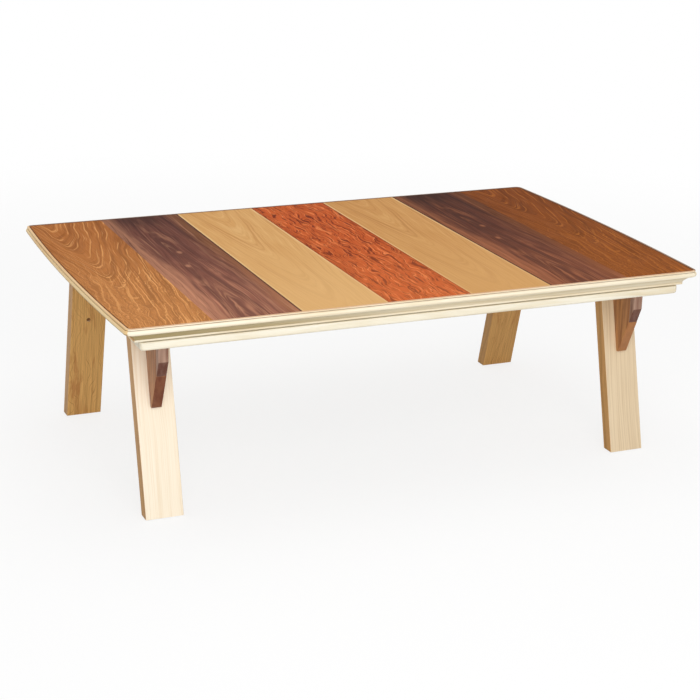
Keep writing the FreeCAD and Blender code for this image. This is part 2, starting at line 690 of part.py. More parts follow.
for depth, depth_sign in DEPTHS.items():
    for side, side_sign in SIDES.items():
        corner = f"{depth}_{side}"
        centre_x = f"{side_sign} * {LEG_CENTRE}"
        leg = new_body(f"leg_{corner}")
        sketch = new_sketch(leg, "YZ_Plane", f"{centre_x} - leg_width / 2")
        foot_out = f"{depth_sign} * {FOOT_REACH}"
        foot_in = f"{depth_sign} * ({FOOT_REACH} - leg_thickness)"
        top_out = f"{depth_sign} * {leg_face(FRAME_BOTTOM)}"
        top_in = f"{depth_sign} * ({leg_face(FRAME_BOTTOM)} - leg_thickness)"
        draw_outline(sketch, [(foot_out, "felt_thickness"), (top_out, FRAME_BOTTOM),
                              (top_in, FRAME_BOTTOM), (foot_in, "felt_thickness")])
        pad(leg, sketch, "leg_width")
        half_height = value("table_height / 2")
        round_edges(leg, "leg_edge_round",
                    lambda edge: edge.BoundBox.ZLength > half_height)

        # the felt under the foot
        felt_y = f"{depth_sign} * ({FOOT_REACH} - leg_thickness / 2)"
        felts.append(block(f"felt_{corner}", "leg_width - 2 * felt_margin",
                           "leg_thickness - 2 * felt_margin", "felt_thickness", centre_x, felt_y, "0"))

        # two hanger bolts rise out of the leg through the end board
        for bolt_sign in (-1, 1):
            bolt_x = f"{centre_x} + {bolt_sign} * bolt_spacing / 2"
            bolt_y = f"{depth_sign} * {BOLT_Y}"
            number = len(bolts)
            seat = f"{FRAME_TOP} - counterbore_depth"
            start = (bolt_x, bolt_y, f"{FRAME_BOTTOM} - bolt_depth")
            bolts.append(rod(f"hanger_bolt_{number}", "bolt_radius", f"bolt_depth + rail_thickness", start))
            bore(leg, "bolt_radius + fit_gap", f"bolt_depth + {OVERRUN}", start)
            bore(body_named(f"end_board_{side}"), "bolt_radius + fit_gap", OVERRUN, start)
            bore(body_named(f"end_board_{side}"), "counterbore_radius", OVERRUN, (bolt_x, bolt_y, seat))
            washer = rod(f"washer_disc_{number}", "washer_radius", "washer_thickness",
                         (bolt_x, bolt_y, seat))
            washer_hole = rod(f"washer_hole_{number}", "bolt_radius + fit_gap", "washer_thickness",
                              (bolt_x, bolt_y, seat))
            washers.append(cut(f"washer_{number}", washer, [washer_hole]))
            nut_seat = f"{seat} + washer_thickness"
            hexagon = new_object("Part::Prism", f"nut_hexagon_{number}")
            bind(hexagon, {
                "Circumradius": "nut_radius",
                "Height": "nut_height",
                "Placement.Base.x": bolt_x,
                "Placement.Base.y": bolt_y,
                "Placement.Base.z": nut_seat,
            })
            nut_hole = rod(f"nut_hole_{number}", "bolt_radius + fit_gap", "nut_height",
                           (bolt_x, bolt_y, nut_seat))
            nuts.append(cut(f"nut_{number}", hexagon, [nut_hole]))

        # the bracket: a main piece against the leg and a glued front strip
        bracket_offset = f"{centre_x} - bracket_width / 2"
        main = new_body(f"bracket_{corner}")
        sketch = new_sketch(main, "YZ_Plane", bracket_offset)
        draw_outline(sketch, [
            (f"{depth_sign} * {leg_face(FRAME_BOTTOM)}", FRAME_BOTTOM),
            (f"{depth_sign} * {GLUE_Y}", FRAME_BOTTOM),
            (f"{depth_sign} * {GLUE_Y}", GLUE_BOTTOM),
            (f"{depth_sign} * {TIP_Y}", BRACKET_BOTTOM),
            (f"{depth_sign} * {leg_face(BRACKET_BOTTOM)}", BRACKET_BOTTOM)])
        pad(main, sketch, "bracket_width")
        strip = new_body(f"bracket_strip_{corner}")
        sketch = new_sketch(strip, "YZ_Plane", bracket_offset)
        draw_outline(sketch, [
            (f"{depth_sign} * {GLUE_Y}", FRAME_BOTTOM),
            (f"{depth_sign} * {NOSE_Y}", FRAME_BOTTOM),
            (f"{depth_sign} * {NOSE_Y}", f"{FRAME_BOTTOM} - bracket_nose"),
            (f"{depth_sign} * {GLUE_Y}", GLUE_BOTTOM)])
        pad(strip, sketch, "bracket_width")

        # screws down through the end board into the bracket
        for share in TOP_SCREW_SHARES:
            screw_y = f"{depth_sign} * ({leg_face(FRAME_BOTTOM)} + {share} * bracket_reach)"
            name = f"top_screw_{len(top_screws)}"
            top_screws.append(screw(name, "top_screw_length", (centre_x, screw_y, FRAME_TOP), (0, 0, -1)))
            board = body_named(f"end_board_{side}")
            head_seat = f"{FRAME_TOP} - screw_head_height - fit_gap"
            bore(board, "screw_head_radius + fit_gap", "screw_head_height + fit_gap",
                 (centre_x, screw_y, head_seat))
            bore(board, "screw_radius + fit_gap", OVERRUN, (centre_x, screw_y, BAR_BOTTOM))
            bore(main, "screw_radius + fit_gap", "top_screw_length - rail_thickness + fit_gap",
                 (centre_x, screw_y, FRAME_BOTTOM), (0, 0, -1))

        # screws out through the leg into the bracket
        for share in LEG_SCREW_SHARES:
            screw_z = f"{FRAME_BOTTOM} - {share} * bracket_height"
            inner_face = f"({leg_face(screw_z)} - leg_thickness)"
            head_y = f"{depth_sign} * ({inner_face} + leg_screw_sink)"
            outward = (0, depth_sign, 0)
            name = f"leg_screw_{len(leg_screws)}"
            leg_screws.append(screw(name, "leg_screw_length", (centre_x, head_y, screw_z), outward))
            well_start = f"{depth_sign} * ({inner_face} - leg_screw_sink)"
            bore(leg, "screw_head_radius + fit_gap", "2 * leg_screw_sink + screw_head_height + fit_gap",
                 (centre_x, well_start, screw_z), outward)
            shank = "leg_screw_length + fit_gap"
            bore(leg, "screw_radius + fit_gap", shank, (centre_x, head_y, screw_z), outward)
            bore(main, "screw_radius + fit_gap", shank, (centre_x, head_y, screw_z), outward)

node(group("foot_felts", felts), "foot_felts")
node(group("leg_hanger_bolts", bolts), "leg_hanger_bolts")
node(group("leg_washers", washers), "leg_washers")
node(group("leg_nuts", nuts), "leg_nuts")
node(group("bracket_top_screws", top_screws), "bracket_top_screws")
node(group("bracket_leg_screws", leg_screws), "bracket_leg_screws")


# The heater's widths all follow the opening between the bars
HOUSING_SIZE = "(heater_opening - 2 * housing_clearance)"
FLANGE_SIZE = "(heater_opening + 2 * flange_lap)"
SCREW_REACH = f"({FLANGE_SIZE} / 2 - flange_screw_inset)"
SCREW_SPREAD = f"({FLANGE_SIZE} / 2 - flange_screw_margin)"
BEZEL_SIZE = f"({HOUSING_SIZE} + 2 * bezel_lap)"
BEZEL_OPENING = f"({HOUSING_SIZE} - 2 * bezel_ledge_width)"
GUARD_SIZE = f"({BEZEL_OPENING} + 2 * guard_lap)"
TRAY_MOUTH = f"({BEZEL_OPENING} - 2 * tray_mouth_inset)"
TRAY_CROWN = f"({TRAY_MOUTH} - 2 * tray_slope_run)"
TUBE_LENGTH = f"({TRAY_CROWN} - 2 * tube_end_gap)"
CONTROL_REACH = f"({TRAY_CROWN} / 2 - control_inset)"

# The heater's housing: a pressed pan that hangs by its flange under the four bars
HOUSING_TOP = f"({FRAME_TOP} - housing_drop)"
HOUSING_BOTTOM = f"({HOUSING_TOP} - housing_height)"
HOUSING_INSIDE = f"({HOUSING_SIZE} - 2 * housing_sheet)"
FLANGE_BOTTOM = f"({BAR_BOTTOM} - housing_sheet)"
BEZEL_BOTTOM = f"({HOUSING_BOTTOM} - bezel_ledge)"
TRAY_TOP = f"({HOUSING_BOTTOM} + tray_height)"
INLET_MIDDLE = f"(({FLANGE_BOTTOM} + {BEZEL_BOTTOM} + bezel_height) / 2)"


def slot(body, length, width, height, centre_x, centre_y, bottom):
    hole = body.newObject("PartDesign::SubtractiveBox", f"{body.Name}_slot")
    bind(hole, {
        "Length": length,
        "Width": width,
        "Height": height,
        "Placement.Base.x": f"{centre_x} - ({length}) / 2",
        "Placement.Base.y": f"{centre_y} - ({width}) / 2",
        "Placement.Base.z": bottom,
    })
    before = body.Shape.Volume
    doc.recompute()
    if body.Shape.Volume >= before:
        raise RuntimeError(f"{body.Label}: a slot cut nothing")


def rounded_prism(body, size, radius, bottom, height):
    sketch = new_sketch(body, "XY_Plane", bottom)
    draw_rounded_square(sketch, size, radius)
    return pad(body, sketch, height)


def rounded_pocket(body, size, radius, bottom, depth):
    sketch = new_sketch(body, "XY_Plane", bottom)
    draw_rounded_square(sketch, size, radius)
    pocket_upward(body, sketch, depth)


housing = new_body("heater_housing")
rounded_prism(housing, HOUSING_SIZE, "housing_corner", HOUSING_BOTTOM, "housing_height")
rounded_prism(housing, FLANGE_SIZE, "housing_corner", FLANGE_BOTTOM, "housing_sheet")
rounded_pocket(housing, HOUSING_INSIDE, "housing_corner - housing_sheet", HOUSING_BOTTOM,
               "housing_height - housing_sheet")
for side_sign in (-1, 1):
    for step in range(VENT_COUNT):
        vent_y = f"{step - (VENT_COUNT - 1) / 2} * vent_pitch"
        vent_x = f"{side_sign} * (motor_radius + vent_margin + vent_length / 2)"
        slot(housing, "vent_length", "vent_width", OVERRUN, vent_x, vent_y,
             f"{HOUSING_TOP} - 2 * housing_sheet")
slot(housing, "2 * housing_sheet", "inlet_width + 2 * seat_gap", "inlet_height + 2 * seat_gap",
     f"({HOUSING_SIZE} - housing_sheet) / 2", "0", f"{INLET_MIDDLE} - inlet_height / 2 - seat_gap")

flange_screws = []
for side_sign in (-1, 1):
    for depth_sign in (-1, 1):
        screw_x = f"{side_sign} * {SCREW_REACH}"
        screw_y = f"{depth_sign} * {SCREW_SPREAD}"
        name = f"flange_screw_{len(flange_screws)}"
        head = rod(f"{name}_head", "flange_head_radius", "flange_head_height",
                   (screw_x, screw_y, f"{FLANGE_BOTTOM} - flange_head_height"))
        shank = rod(f"{name}_shank", "flange_screw_radius", "flange_screw_length",
                    (screw_x, screw_y, FLANGE_BOTTOM))
        flange_screws.append(fuse(name, [head, shank]))
        bar = body_named("heater_bar_left" if side_sign < 0 else "heater_bar_right")
        for piece in (housing, bar):
            bore(piece, "flange_screw_radius + fit_gap", "flange_screw_length + fit_gap",
                 (screw_x, screw_y, FLANGE_BOTTOM))
node(group("heater_mount_screws", flange_screws), "heater_mount_screws")

# The bezel takes the pan's lower rim on a ledge, and the guard lies in a rebate below it
bezel = new_body("heater_bezel")
rounded_prism(bezel, BEZEL_SIZE, "bezel_corner", BEZEL_BOTTOM, "bezel_height")
bezel_foot = value(BEZEL_BOTTOM)
round_edges(bezel, "bezel_round", lambda edge: lies_at(edge, "Z", bezel_foot))
rounded_pocket(bezel, f"{HOUSING_SIZE} + 2 * seat_gap", "housing_corner + seat_gap", HOUSING_BOTTOM,
               "bezel_height - bezel_ledge")
rounded_pocket(bezel, BEZEL_OPENING, "housing_corner", BEZEL_BOTTOM, "bezel_ledge")
GUARD_SEAT = f"({GUARD_SIZE} + 2 * seat_gap)"
slot(bezel, GUARD_SEAT, GUARD_SEAT, "guard_rim_height + seat_gap", "0", "0", BEZEL_BOTTOM)
bezel_screws = []
for side_sign in (-1, 1):
    for depth_sign in (-1, 1):
        screw_x = f"{side_sign} * {SCREW_SPREAD}"
        screw_z = f"{HOUSING_BOTTOM} + bezel_screw_rise"
        seat_y = f"{depth_sign} * ({BEZEL_SIZE} / 2 - bezel_head_height)"
        inward = (0, -depth_sign, 0)
        outward = (0, depth_sign, 0)
        name = f"bezel_screw_{len(bezel_screws)}"
        seat = (screw_x, seat_y, screw_z)
        head = rod(f"{name}_head", "bezel_head_radius", "bezel_head_height", seat, outward)
        shank = rod(f"{name}_shank", "bezel_screw_radius", "bezel_screw_length", seat, inward)
        bezel_screws.append(fuse(name, [head, shank]))
        bore(bezel, "bezel_head_radius + fit_gap", OVERRUN, seat, outward)
        for piece in (bezel, housing):
            bore(piece, "bezel_screw_radius + fit_gap", "bezel_screw_length", seat, inward)
node(group("bezel_screws", bezel_screws), "bezel_screws")

# The guard: round wires over cross ties, all seated in holes in the rim's inner faces
GUARD_OPENING = f"({GUARD_SIZE} - 2 * guard_rim_width)"
WIRE_LENGTH = f"({GUARD_OPENING} + 2 * guard_wire_seat)"
SEAT_LENGTH = f"({WIRE_LENGTH} + 2 * fit_gap)"
WIRE_LEVEL = f"({BEZEL_BOTTOM} + guard_rim_height / 2 + guard_wire_radius + fit_gap / 2)"
TIE_LEVEL = f"({BEZEL_BOTTOM} + guard_rim_height / 2 - guard_wire_radius - fit_gap / 2)"
rim_plate = block("guard_rim_plate", GUARD_SIZE, GUARD_SIZE, "guard_rim_height", "0", "0", BEZEL_BOTTOM)
rim_tools = [block("guard_rim_hole", GUARD_OPENING, GUARD_OPENING, "guard_rim_height",
                   "0", "0", BEZEL_BOTTOM)]
guard_wires = []
wires_each_side = int(value(f"({GUARD_OPENING} / 2 - guard_wire_radius) / guard_pitch"))
for step in range(-wires_each_side, wires_each_side + 1):
    across = f"{step} * guard_pitch"
    guard_wires.append(rod("guard_wire", "guard_wire_radius", WIRE_LENGTH,
                           (f"-{WIRE_LENGTH} / 2", across, WIRE_LEVEL), (1, 0, 0)))
    rim_tools.append(rod("wire_seat", "guard_wire_radius + fit_gap", SEAT_LENGTH,
                         (f"-{SEAT_LENGTH} / 2", across, WIRE_LEVEL), (1, 0, 0)))
ties_each_side = int(value(f"({GUARD_OPENING} / 2 - guard_wire_radius) / guard_tie_pitch"))
for step in range(-ties_each_side, ties_each_side + 1):
    along = f"{step} * guard_tie_pitch"
    guard_wires.append(rod("guard_tie", "guard_wire_radius", WIRE_LENGTH,
                           (along, f"-{WIRE_LENGTH} / 2", TIE_LEVEL), (0, 1, 0)))
    rim_tools.append(rod("tie_seat", "guard_wire_radius + fit_gap", SEAT_LENGTH,
                         (along, f"-{SEAT_LENGTH} / 2", TIE_LEVEL), (0, 1, 0)))
node(cut("guard_rim", rim_plate, rim_tools), "heater_guard")
node(group("guard_wires", guard_wires), "guard_wires")


# The reflector tray: a rim on the bezel's ledge and four sloping sides up to a crown
def square_sketch(body, size, level):
    sketch = new_sketch(body, "XY_Plane", level)
    reach = f"({size}) / 2"
    draw_outline(sketch, [(f"-{reach}", f"-{reach}"), (reach, f"-{reach}"),
                          (reach, reach), (f"-{reach}", reach)])
    sketch.Visibility = False
    return sketch


def loft(body, kind, lower, upper):
    feature = body.newObject(f"PartDesign::{kind}", f"{body.Name}_loft")
    feature.Profile = lower
    feature.Sections = [upper]
    before = body.Shape.Volume
    doc.recompute()
    if body.Shape.Volume == before:
        raise RuntimeError(f"{body.Label}: a loft changed nothing")


tray = new_body("reflector_tray")
rounded_prism(tray, f"{HOUSING_INSIDE} - 2 * seat_gap", "housing_corner - housing_sheet - seat_gap",
              HOUSING_BOTTOM, "tray_sheet")
loft(tray, "AdditiveLoft", square_sketch(tray, f"{TRAY_MOUTH} + 2 * tray_sheet", HOUSING_BOTTOM),
     square_sketch(tray, f"{TRAY_CROWN} + 2 * tray_sheet", TRAY_TOP))
loft(tray, "SubtractiveLoft", square_sketch(tray, TRAY_MOUTH, HOUSING_BOTTOM),
     square_sketch(tray, TRAY_CROWN, f"{TRAY_TOP} - tray_sheet"))
bore(tray, "tray_hole_radius", OVERRUN, ("0", "0", HOUSING_BOTTOM))

# Two quartz tubes with their heating coils, held at both ends under the crown
TUBE_LEVEL = f"({TRAY_TOP} - tray_sheet - tube_drop)"
COIL_LENGTH = f"({TUBE_LENGTH} - holder_length)"
HOLDER_WALL = "((holder_width - 2 * tube_radius) / 3)"
tubes = []
coils = []
holders = []
for depth_sign in (-1, 1):
    tube_y = f"{depth_sign} * tube_spacing / 2"
    start = (f"-{TUBE_LENGTH} / 2", tube_y, TUBE_LEVEL)
    glass = rod(f"tube_outside_{depth_sign}", "tube_radius", TUBE_LENGTH, start, (1, 0, 0))
    hollow = rod(f"tube_inside_{depth_sign}", "tube_radius - tube_wall", TUBE_LENGTH, start, (1, 0, 0))
    tubes.append(cut(f"tube_{depth_sign}", glass, [hollow]))
    coils.append(rod(f"coil_{depth_sign}", "tube_radius - tube_wall - seat_gap", COIL_LENGTH,
                     (f"-{COIL_LENGTH} / 2", tube_y, TUBE_LEVEL), (1, 0, 0)))
    for side_sign in (-1, 1):
        holder_x = f"{side_sign} * ({TUBE_LENGTH} / 2 + {HOLDER_WALL} - holder_length / 2)"
        solid = block("holder_block", "holder_length", "holder_width", "holder_height", holder_x, tube_y,
                      f"{TRAY_TOP} - tray_sheet - holder_height")
        socket = rod("holder_socket", "tube_radius + fit_gap", f"{TUBE_LENGTH} + 2 * fit_gap",
                     (f"-{TUBE_LENGTH} / 2 - fit_gap", tube_y, TUBE_LEVEL), (1, 0, 0))
        holders.append(cut("holder", solid, [socket]))
node(group("quartz_tubes", tubes), "quartz_tubes")
node(group("heating_coils", coils), "heating_coils")
node(group("tube_holders", holders), "tube_holders")

# The fan hangs from its motor under the housing's top
MOTOR_BOTTOM = f"({HOUSING_TOP} - housing_sheet - motor_height)"
HUB_BOTTOM = f"({MOTOR_BOTTOM} - hub_gap - hub_height)"
motor_can = rod("motor_can", "motor_radius", "motor_height", ("0", "0", MOTOR_BOTTOM))
motor_hole = rod("motor_hole", "shaft_radius + fit_gap", "shaft_entry + seat_gap", ("0", "0", MOTOR_BOTTOM))
node(cut("fan_motor", motor_can, [motor_hole]), "fan_motor")
SHAFT_LENGTH = "(hub_height + hub_gap + shaft_entry)"
node(rod("fan_shaft", "shaft_radius", SHAFT_LENGTH, ("0", "0", HUB_BOTTOM)), "fan_shaft")

impeller = new_body("fan_impeller")
hub = impeller.newObject("PartDesign::AdditiveCylinder", "fan_hub")
bind(hub, {"Radius": "hub_radius", "Height": "hub_height", "Placement.Base.z": HUB_BOTTOM})
doc.recompute()
blade = impeller.newObject("PartDesign::AdditiveBox", "fan_blade")
blade.Placement = Placement(Vector(), Rotation(Vector(1, 0, 0), BLADE_PITCH_DEGREES))
cosine = math.cos(math.radians(BLADE_PITCH_DEGREES))
sine = math.sin(math.radians(BLADE_PITCH_DEGREES))
blade_fall = f"(blade_chord * {sine} + blade_thickness * {cosine}) / 2"
bind(blade, {
    "Length": "blade_reach - hub_radius / 2",
    "Width": "blade_chord",
    "Height": "blade_thickness",
    "Placement.Base.x": "hub_radius / 2",
    "Placement.Base.y": f"(blade_thickness * {sine} - blade_chord * {cosine}) / 2",
    "Placement.Base.z": f"{HUB_BOTTOM} + hub_height / 2 - {blade_fall}",
})
doc.recompute()
pattern = impeller.newObject("PartDesign::PolarPattern", "fan_blades")
pattern.Originals = [blade]
turning_axis = next(item for item in impeller.Origin.OriginFeatures if item.Role == "Z_Axis")
pattern.Axis = (turning_axis, [""])
pattern.Angle = 360
pattern.Occurrences = BLADE_COUNT
impeller.Tip = pattern
doc.recompute()
bore(impeller, "shaft_radius + fit_gap", OVERRUN, ("0", "0", BEZEL_BOTTOM))

# The controls on top of the tray, and the inlet for the power lead in the pan's side
node(rod("thermostat", "thermostat_radius", "thermostat_height",
         (CONTROL_REACH, CONTROL_REACH, TRAY_TOP)), "thermostat")
FUSE_LEVEL = f"({TRAY_TOP} + fuse_radius + fit_gap)"
node(rod("thermal_fuse", "fuse_radius", "fuse_length",
         (f"-{CONTROL_REACH} - fuse_length / 2", CONTROL_REACH, FUSE_LEVEL), (1, 0, 0)), "thermal_fuse")
node(block("terminal_block", "terminal_length", "terminal_width", "terminal_height",
           "0", f"-{CONTROL_REACH}", TRAY_TOP), "terminal_block")

INLET_FACE = f"({HOUSING_SIZE} / 2 + inlet_reach)"
INLET_BOTTOM = f"({INLET_MIDDLE} - inlet_height / 2)"
inlet = new_body("power_inlet")
sketch = new_sketch(inlet, "XY_Plane", INLET_BOTTOM)
back_x = f"{INLET_FACE} - inlet_depth"
draw_outline(sketch, [(back_x, "-inlet_width / 2"), (INLET_FACE, "-inlet_width / 2"),
                      (INLET_FACE, "inlet_width / 2"), (back_x, "inlet_width / 2")])
pad(inlet, sketch, "inlet_height")
slot(inlet, "2 * (inlet_depth - inlet_back)", "inlet_width - 2 * inlet_wall",
     "inlet_height - 2 * inlet_wall", INLET_FACE, "0", f"{INLET_BOTTOM} + inlet_wall")
pins = []
for pin_sign in (-1, 1):
    start = (back_x, f"{pin_sign} * inlet_pin_spacing / 2", INLET_MIDDLE)
    pins.append(rod("inlet_pin", "inlet_pin_radius", "inlet_back + inlet_pin_length", start, (1, 0, 0)))
    bore(inlet, "inlet_pin_radius + fit_gap", "inlet_back + fit_gap", start, (1, 0, 0))
node(group("inlet_pins", pins), "inlet_pins")

# Every object is sound, and every piece is written under its name
doc.recompute()
for item in doc.Objects:
    if "Invalid" in item.State or "Error" in item.State:
        raise RuntimeError(f"{item.Label}: {item.State}")
os.makedirs("parts", exist_ok=True)
for piece in nodes:
    if piece.Shape.isNull() or not piece.Shape.isValid() or not piece.Shape.Solids:
        raise RuntimeError(f"{piece.Label} has no sound shape")
    piece.Shape.exportStep(f"parts/{piece.Label}.step")
    print(piece.Label, len(piece.Shape.Solids), round(piece.Shape.Volume))
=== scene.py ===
import json
import math

import bmesh
import bpy
from mathutils import Matrix, Vector

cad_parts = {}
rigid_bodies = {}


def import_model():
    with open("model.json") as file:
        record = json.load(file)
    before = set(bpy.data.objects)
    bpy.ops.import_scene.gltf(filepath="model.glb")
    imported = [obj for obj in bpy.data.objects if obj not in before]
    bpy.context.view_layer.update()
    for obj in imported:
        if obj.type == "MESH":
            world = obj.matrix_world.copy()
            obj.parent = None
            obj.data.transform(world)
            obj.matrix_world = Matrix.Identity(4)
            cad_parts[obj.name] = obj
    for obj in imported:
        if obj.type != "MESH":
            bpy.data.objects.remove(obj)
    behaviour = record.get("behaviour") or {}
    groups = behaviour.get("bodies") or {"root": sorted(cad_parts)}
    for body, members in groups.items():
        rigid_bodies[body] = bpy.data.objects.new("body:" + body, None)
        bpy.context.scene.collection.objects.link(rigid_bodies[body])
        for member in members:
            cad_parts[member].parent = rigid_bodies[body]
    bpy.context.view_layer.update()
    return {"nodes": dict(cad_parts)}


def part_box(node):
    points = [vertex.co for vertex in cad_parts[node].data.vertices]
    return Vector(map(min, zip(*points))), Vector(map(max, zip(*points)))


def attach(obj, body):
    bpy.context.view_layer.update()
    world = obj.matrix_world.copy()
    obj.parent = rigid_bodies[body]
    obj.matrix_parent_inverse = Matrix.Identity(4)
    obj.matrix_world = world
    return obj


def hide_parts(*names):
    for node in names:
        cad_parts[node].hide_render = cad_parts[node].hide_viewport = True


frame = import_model()
nodes = frame["nodes"]

# The camera stands where a lens fitted to the photograph puts it, in front of the table and to
# its left, a little over a metre and a half up, with a slight roll.
CAMERA_PLACE = Vector((-1.57212, -3.62004, 1.53434))
CAMERA_YAW = 0.4098
CAMERA_PITCH = 0.3258
CAMERA_ROLL = 0.0246
SENSOR_WIDTH = 36.0
LENS = 91.321

sight = Vector((math.sin(CAMERA_YAW) * math.cos(CAMERA_PITCH),
                math.cos(CAMERA_YAW) * math.cos(CAMERA_PITCH), -math.sin(CAMERA_PITCH)))
level = Vector((math.cos(CAMERA_YAW), -math.sin(CAMERA_YAW), 0))
upward = level.cross(sight)
right = math.cos(CAMERA_ROLL) * level + math.sin(CAMERA_ROLL) * upward
top = math.cos(CAMERA_ROLL) * upward - math.sin(CAMERA_ROLL) * level
camera = bpy.data.objects.new("camera", bpy.data.cameras.new("camera"))
camera.data.sensor_width = SENSOR_WIDTH
camera.data.lens = LENS
camera.matrix_world = Matrix.Translation(CAMERA_PLACE) @ Matrix((right, top, -sight)).transposed().to_4x4()
scene = bpy.context.scene
studio = scene.collection.objects
studio.link(camera)
scene.camera = camera
scene.view_settings.view_transform = "Standard"


# The floor is plain white paper that fades into a white surround, and stays pale where the table
# shades it. Finishes are node materials; colours are written as they look, up to 255.
FLOOR_SIZE = 30.0
FLOOR_DROP = 0.0002
FADE_START = 1.3
FADE_END = 3.2
FLOOR_LIFT = 0.8
FLOOR_BOUNCE = 0.72
PAPER_WHITE = 250
ROOM_LIGHT = 0.5


def tone(red, green, blue):
    """The shader's linear colour for a colour as it looks."""
    shares = [channel / 255 for channel in (red, green, blue)]
    return [share / 12.92 if share <= 0.04045 else ((share + 0.055) / 1.055) ** 2.4 for share in shares] + [1.0]


class Finish:
    def __init__(self, name, colour, roughness, **sockets):
        self.material = bpy.data.materials.new(name)
        self.material.use_nodes = True
        self.nodes = self.material.node_tree.nodes
        self.links = self.material.node_tree.links
        self.shader = self.nodes["Principled BSDF"]
        self.set("Base Color", colour)
        self.set("Roughness", roughness)
        for socket, given in sockets.items():
            self.set(socket.replace("_", " "), given)

    def set(self, socket, given):
        self.wire(self.shader, socket, given)

    def wire(self, node, socket, given):
        if isinstance(given, bpy.types.NodeSocket):
            self.links.new(given, node.inputs[socket])
        else:
            node.inputs[socket].default_value = given

    def add(self, kind, inputs, **settings):
        node = self.nodes.new(f"ShaderNode{kind}")
        for name, setting in settings.items():
            setattr(node, name, setting)
        for socket, given in inputs.items():
            self.wire(node, socket, given)
        return node.outputs

    def math(self, operation, *given):
        return self.add("Math", dict(enumerate(given)), operation=operation)[0]

    def times(self, first, second):
        return self.math("MULTIPLY", first, second)

    def size_of(self, signed):
        return self.math("ABSOLUTE", signed)

    def vector(self, operation, *given):
        return self.add("VectorMath", dict(enumerate(given)), operation=operation)[0]

    def span(self, points):
        return self.add("VectorMath", {0: points}, operation="LENGTH")["Value"]

    def parts(self, points):
        return self.add("SeparateXYZ", {0: points})[:3]

    def blend(self, share, first, second, kind="MIX"):
        inputs = {0: share, 6: first, 7: second}
        return self.add("Mix", inputs, data_type="RGBA", blend_type=kind)[2]

    def spread(self, given, low, high, to_low=0.0, to_high=1.0):
        inputs = {0: given, 1: low, 2: high, 3: to_low, 4: to_high}
        return self.add("MapRange", inputs, interpolation_type="SMOOTHSTEP")[0]

    def place(self, centre=(0, 0, 0), turn=(0, 0, 0)):
        """Points of the piece, seen from a pattern that is centred and turned on it."""
        points = self.add("TexCoord", {})["Object"]
        inputs = {"Vector": points, "Location": centre, "Rotation": turn}
        return self.add("Mapping", inputs, vector_type="TEXTURE")[0]

    def noise(self, points, stretch, seed, detail=2.0, roughness=0.5, swirl=0.0):
        """Soft spots, so many to a metre: one number, or one each for across, along and deep."""
        stretch = stretch if isinstance(stretch, tuple) else (stretch, stretch, stretch)
        inputs = {"Vector": self.vector("MULTIPLY", points, stretch), "W": seed, "Scale": 1.0,
                  "Detail": detail, "Roughness": roughness, "Distortion": swirl}
        return self.add("TexNoise", inputs, noise_dimensions="4D")[0]

    def bump(self, height, strength, distance):
        self.set("Normal", self.add("Bump", {"Strength": strength, "Distance": distance, "Height": height})[0])


floor_mesh = bpy.data.meshes.new("floor")
half = FLOOR_SIZE / 2
sheet = ((-half, -half), (half, -half), (half, half), (-half, half))
floor_mesh.from_pydata([(x, y, -FLOOR_DROP) for x, y in sheet], [], [(0, 1, 2, 3)])
floor = bpy.data.objects.new("floor", floor_mesh)
studio.link(floor)
white = tone(PAPER_WHITE, PAPER_WHITE, PAPER_WHITE)
paper = Finish("floor_paper", white, 0.9, Specular_IOR_Level=0.1)
glow = paper.add("Emission", {"Color": (1, 1, 1, 1), "Strength": 1.0})[0]
looked_at = paper.add("LightPath", {})["Is Camera Ray"]
thrown = [FLOOR_BOUNCE, FLOOR_BOUNCE, FLOOR_BOUNCE, 1.0]
paper.set("Base Color", paper.blend(looked_at, thrown, white))
seen = paper.times(looked_at, FLOOR_LIFT)
pale = paper.add("MixShader", {0: seen, 1: paper.shader.outputs[0], 2: glow})[0]
clear = paper.add("BsdfTransparent", {})[0]
below = paper.add("NewGeometry", {})["Backfacing"]
share = paper.math("MAXIMUM", below, paper.spread(paper.span(paper.place()), FADE_START, FADE_END))
shown = paper.add("MixShader", {0: share, 1: pale, 2: clear})[0]
paper.wire(paper.nodes["Material Output"], "Surface", shown)
floor_mesh.materials.append(paper.material)

world = bpy.data.worlds.new("surround")
scene.world = world
world.use_nodes = True
surround, joins = world.node_tree.nodes, world.node_tree.links
ray = surround.new("ShaderNodeLightPath").outputs
seen = ray["Is Camera Ray"]
for kind in ("Is Glossy Ray", "Is Transmission Ray"):
    either = surround.new("ShaderNodeMath")
    either.operation = "MAXIMUM"
    joins.new(seen, either.inputs[0])
    joins.new(ray[kind], either.inputs[1])
    seen = either.outputs[0]
strength = surround.new("ShaderNodeMapRange")
strength.inputs["To Min"].default_value = ROOM_LIGHT
joins.new(seen, strength.inputs["Value"])
backing = surround["Background"].inputs
joins.new(strength.outputs[0], backing["Strength"])
backing["Color"].default_value = (1, 1, 1, 1)


# Three soft boxes light the table: a large one in front, a low one that fills the legs, and one
# overhead, so the board shades the back legs and the faces that look left stay darker.
LAMPS = (
    # name, place, what it points at, size in metres, power in watts
    ("key_lamp", (-1.0, -3.5, 2.2), (0.0, -0.2, 0.3), 3.0, 60.0),
    ("low_lamp", (-0.6, -3.8, 0.7), (0.1, 0.0, 0.3), 2.0, 22.0),
    ("top_lamp", (0.3, 0.3, 3.4), (0.0, 0.0, 0.4), 3.4, 40.0),
)
for name, place, target, size, power in LAMPS:
    lamp = bpy.data.objects.new(name, bpy.data.lights.new(name, "AREA"))
    lamp.data.size = size
    lamp.data.energy = power
    aim = Vector(target) - Vector(place)
    lamp.matrix_world = Matrix.Translation(place) @ aim.to_track_quat("-Z", "Y").to_matrix().to_4x4()
    studio.link(lamp)


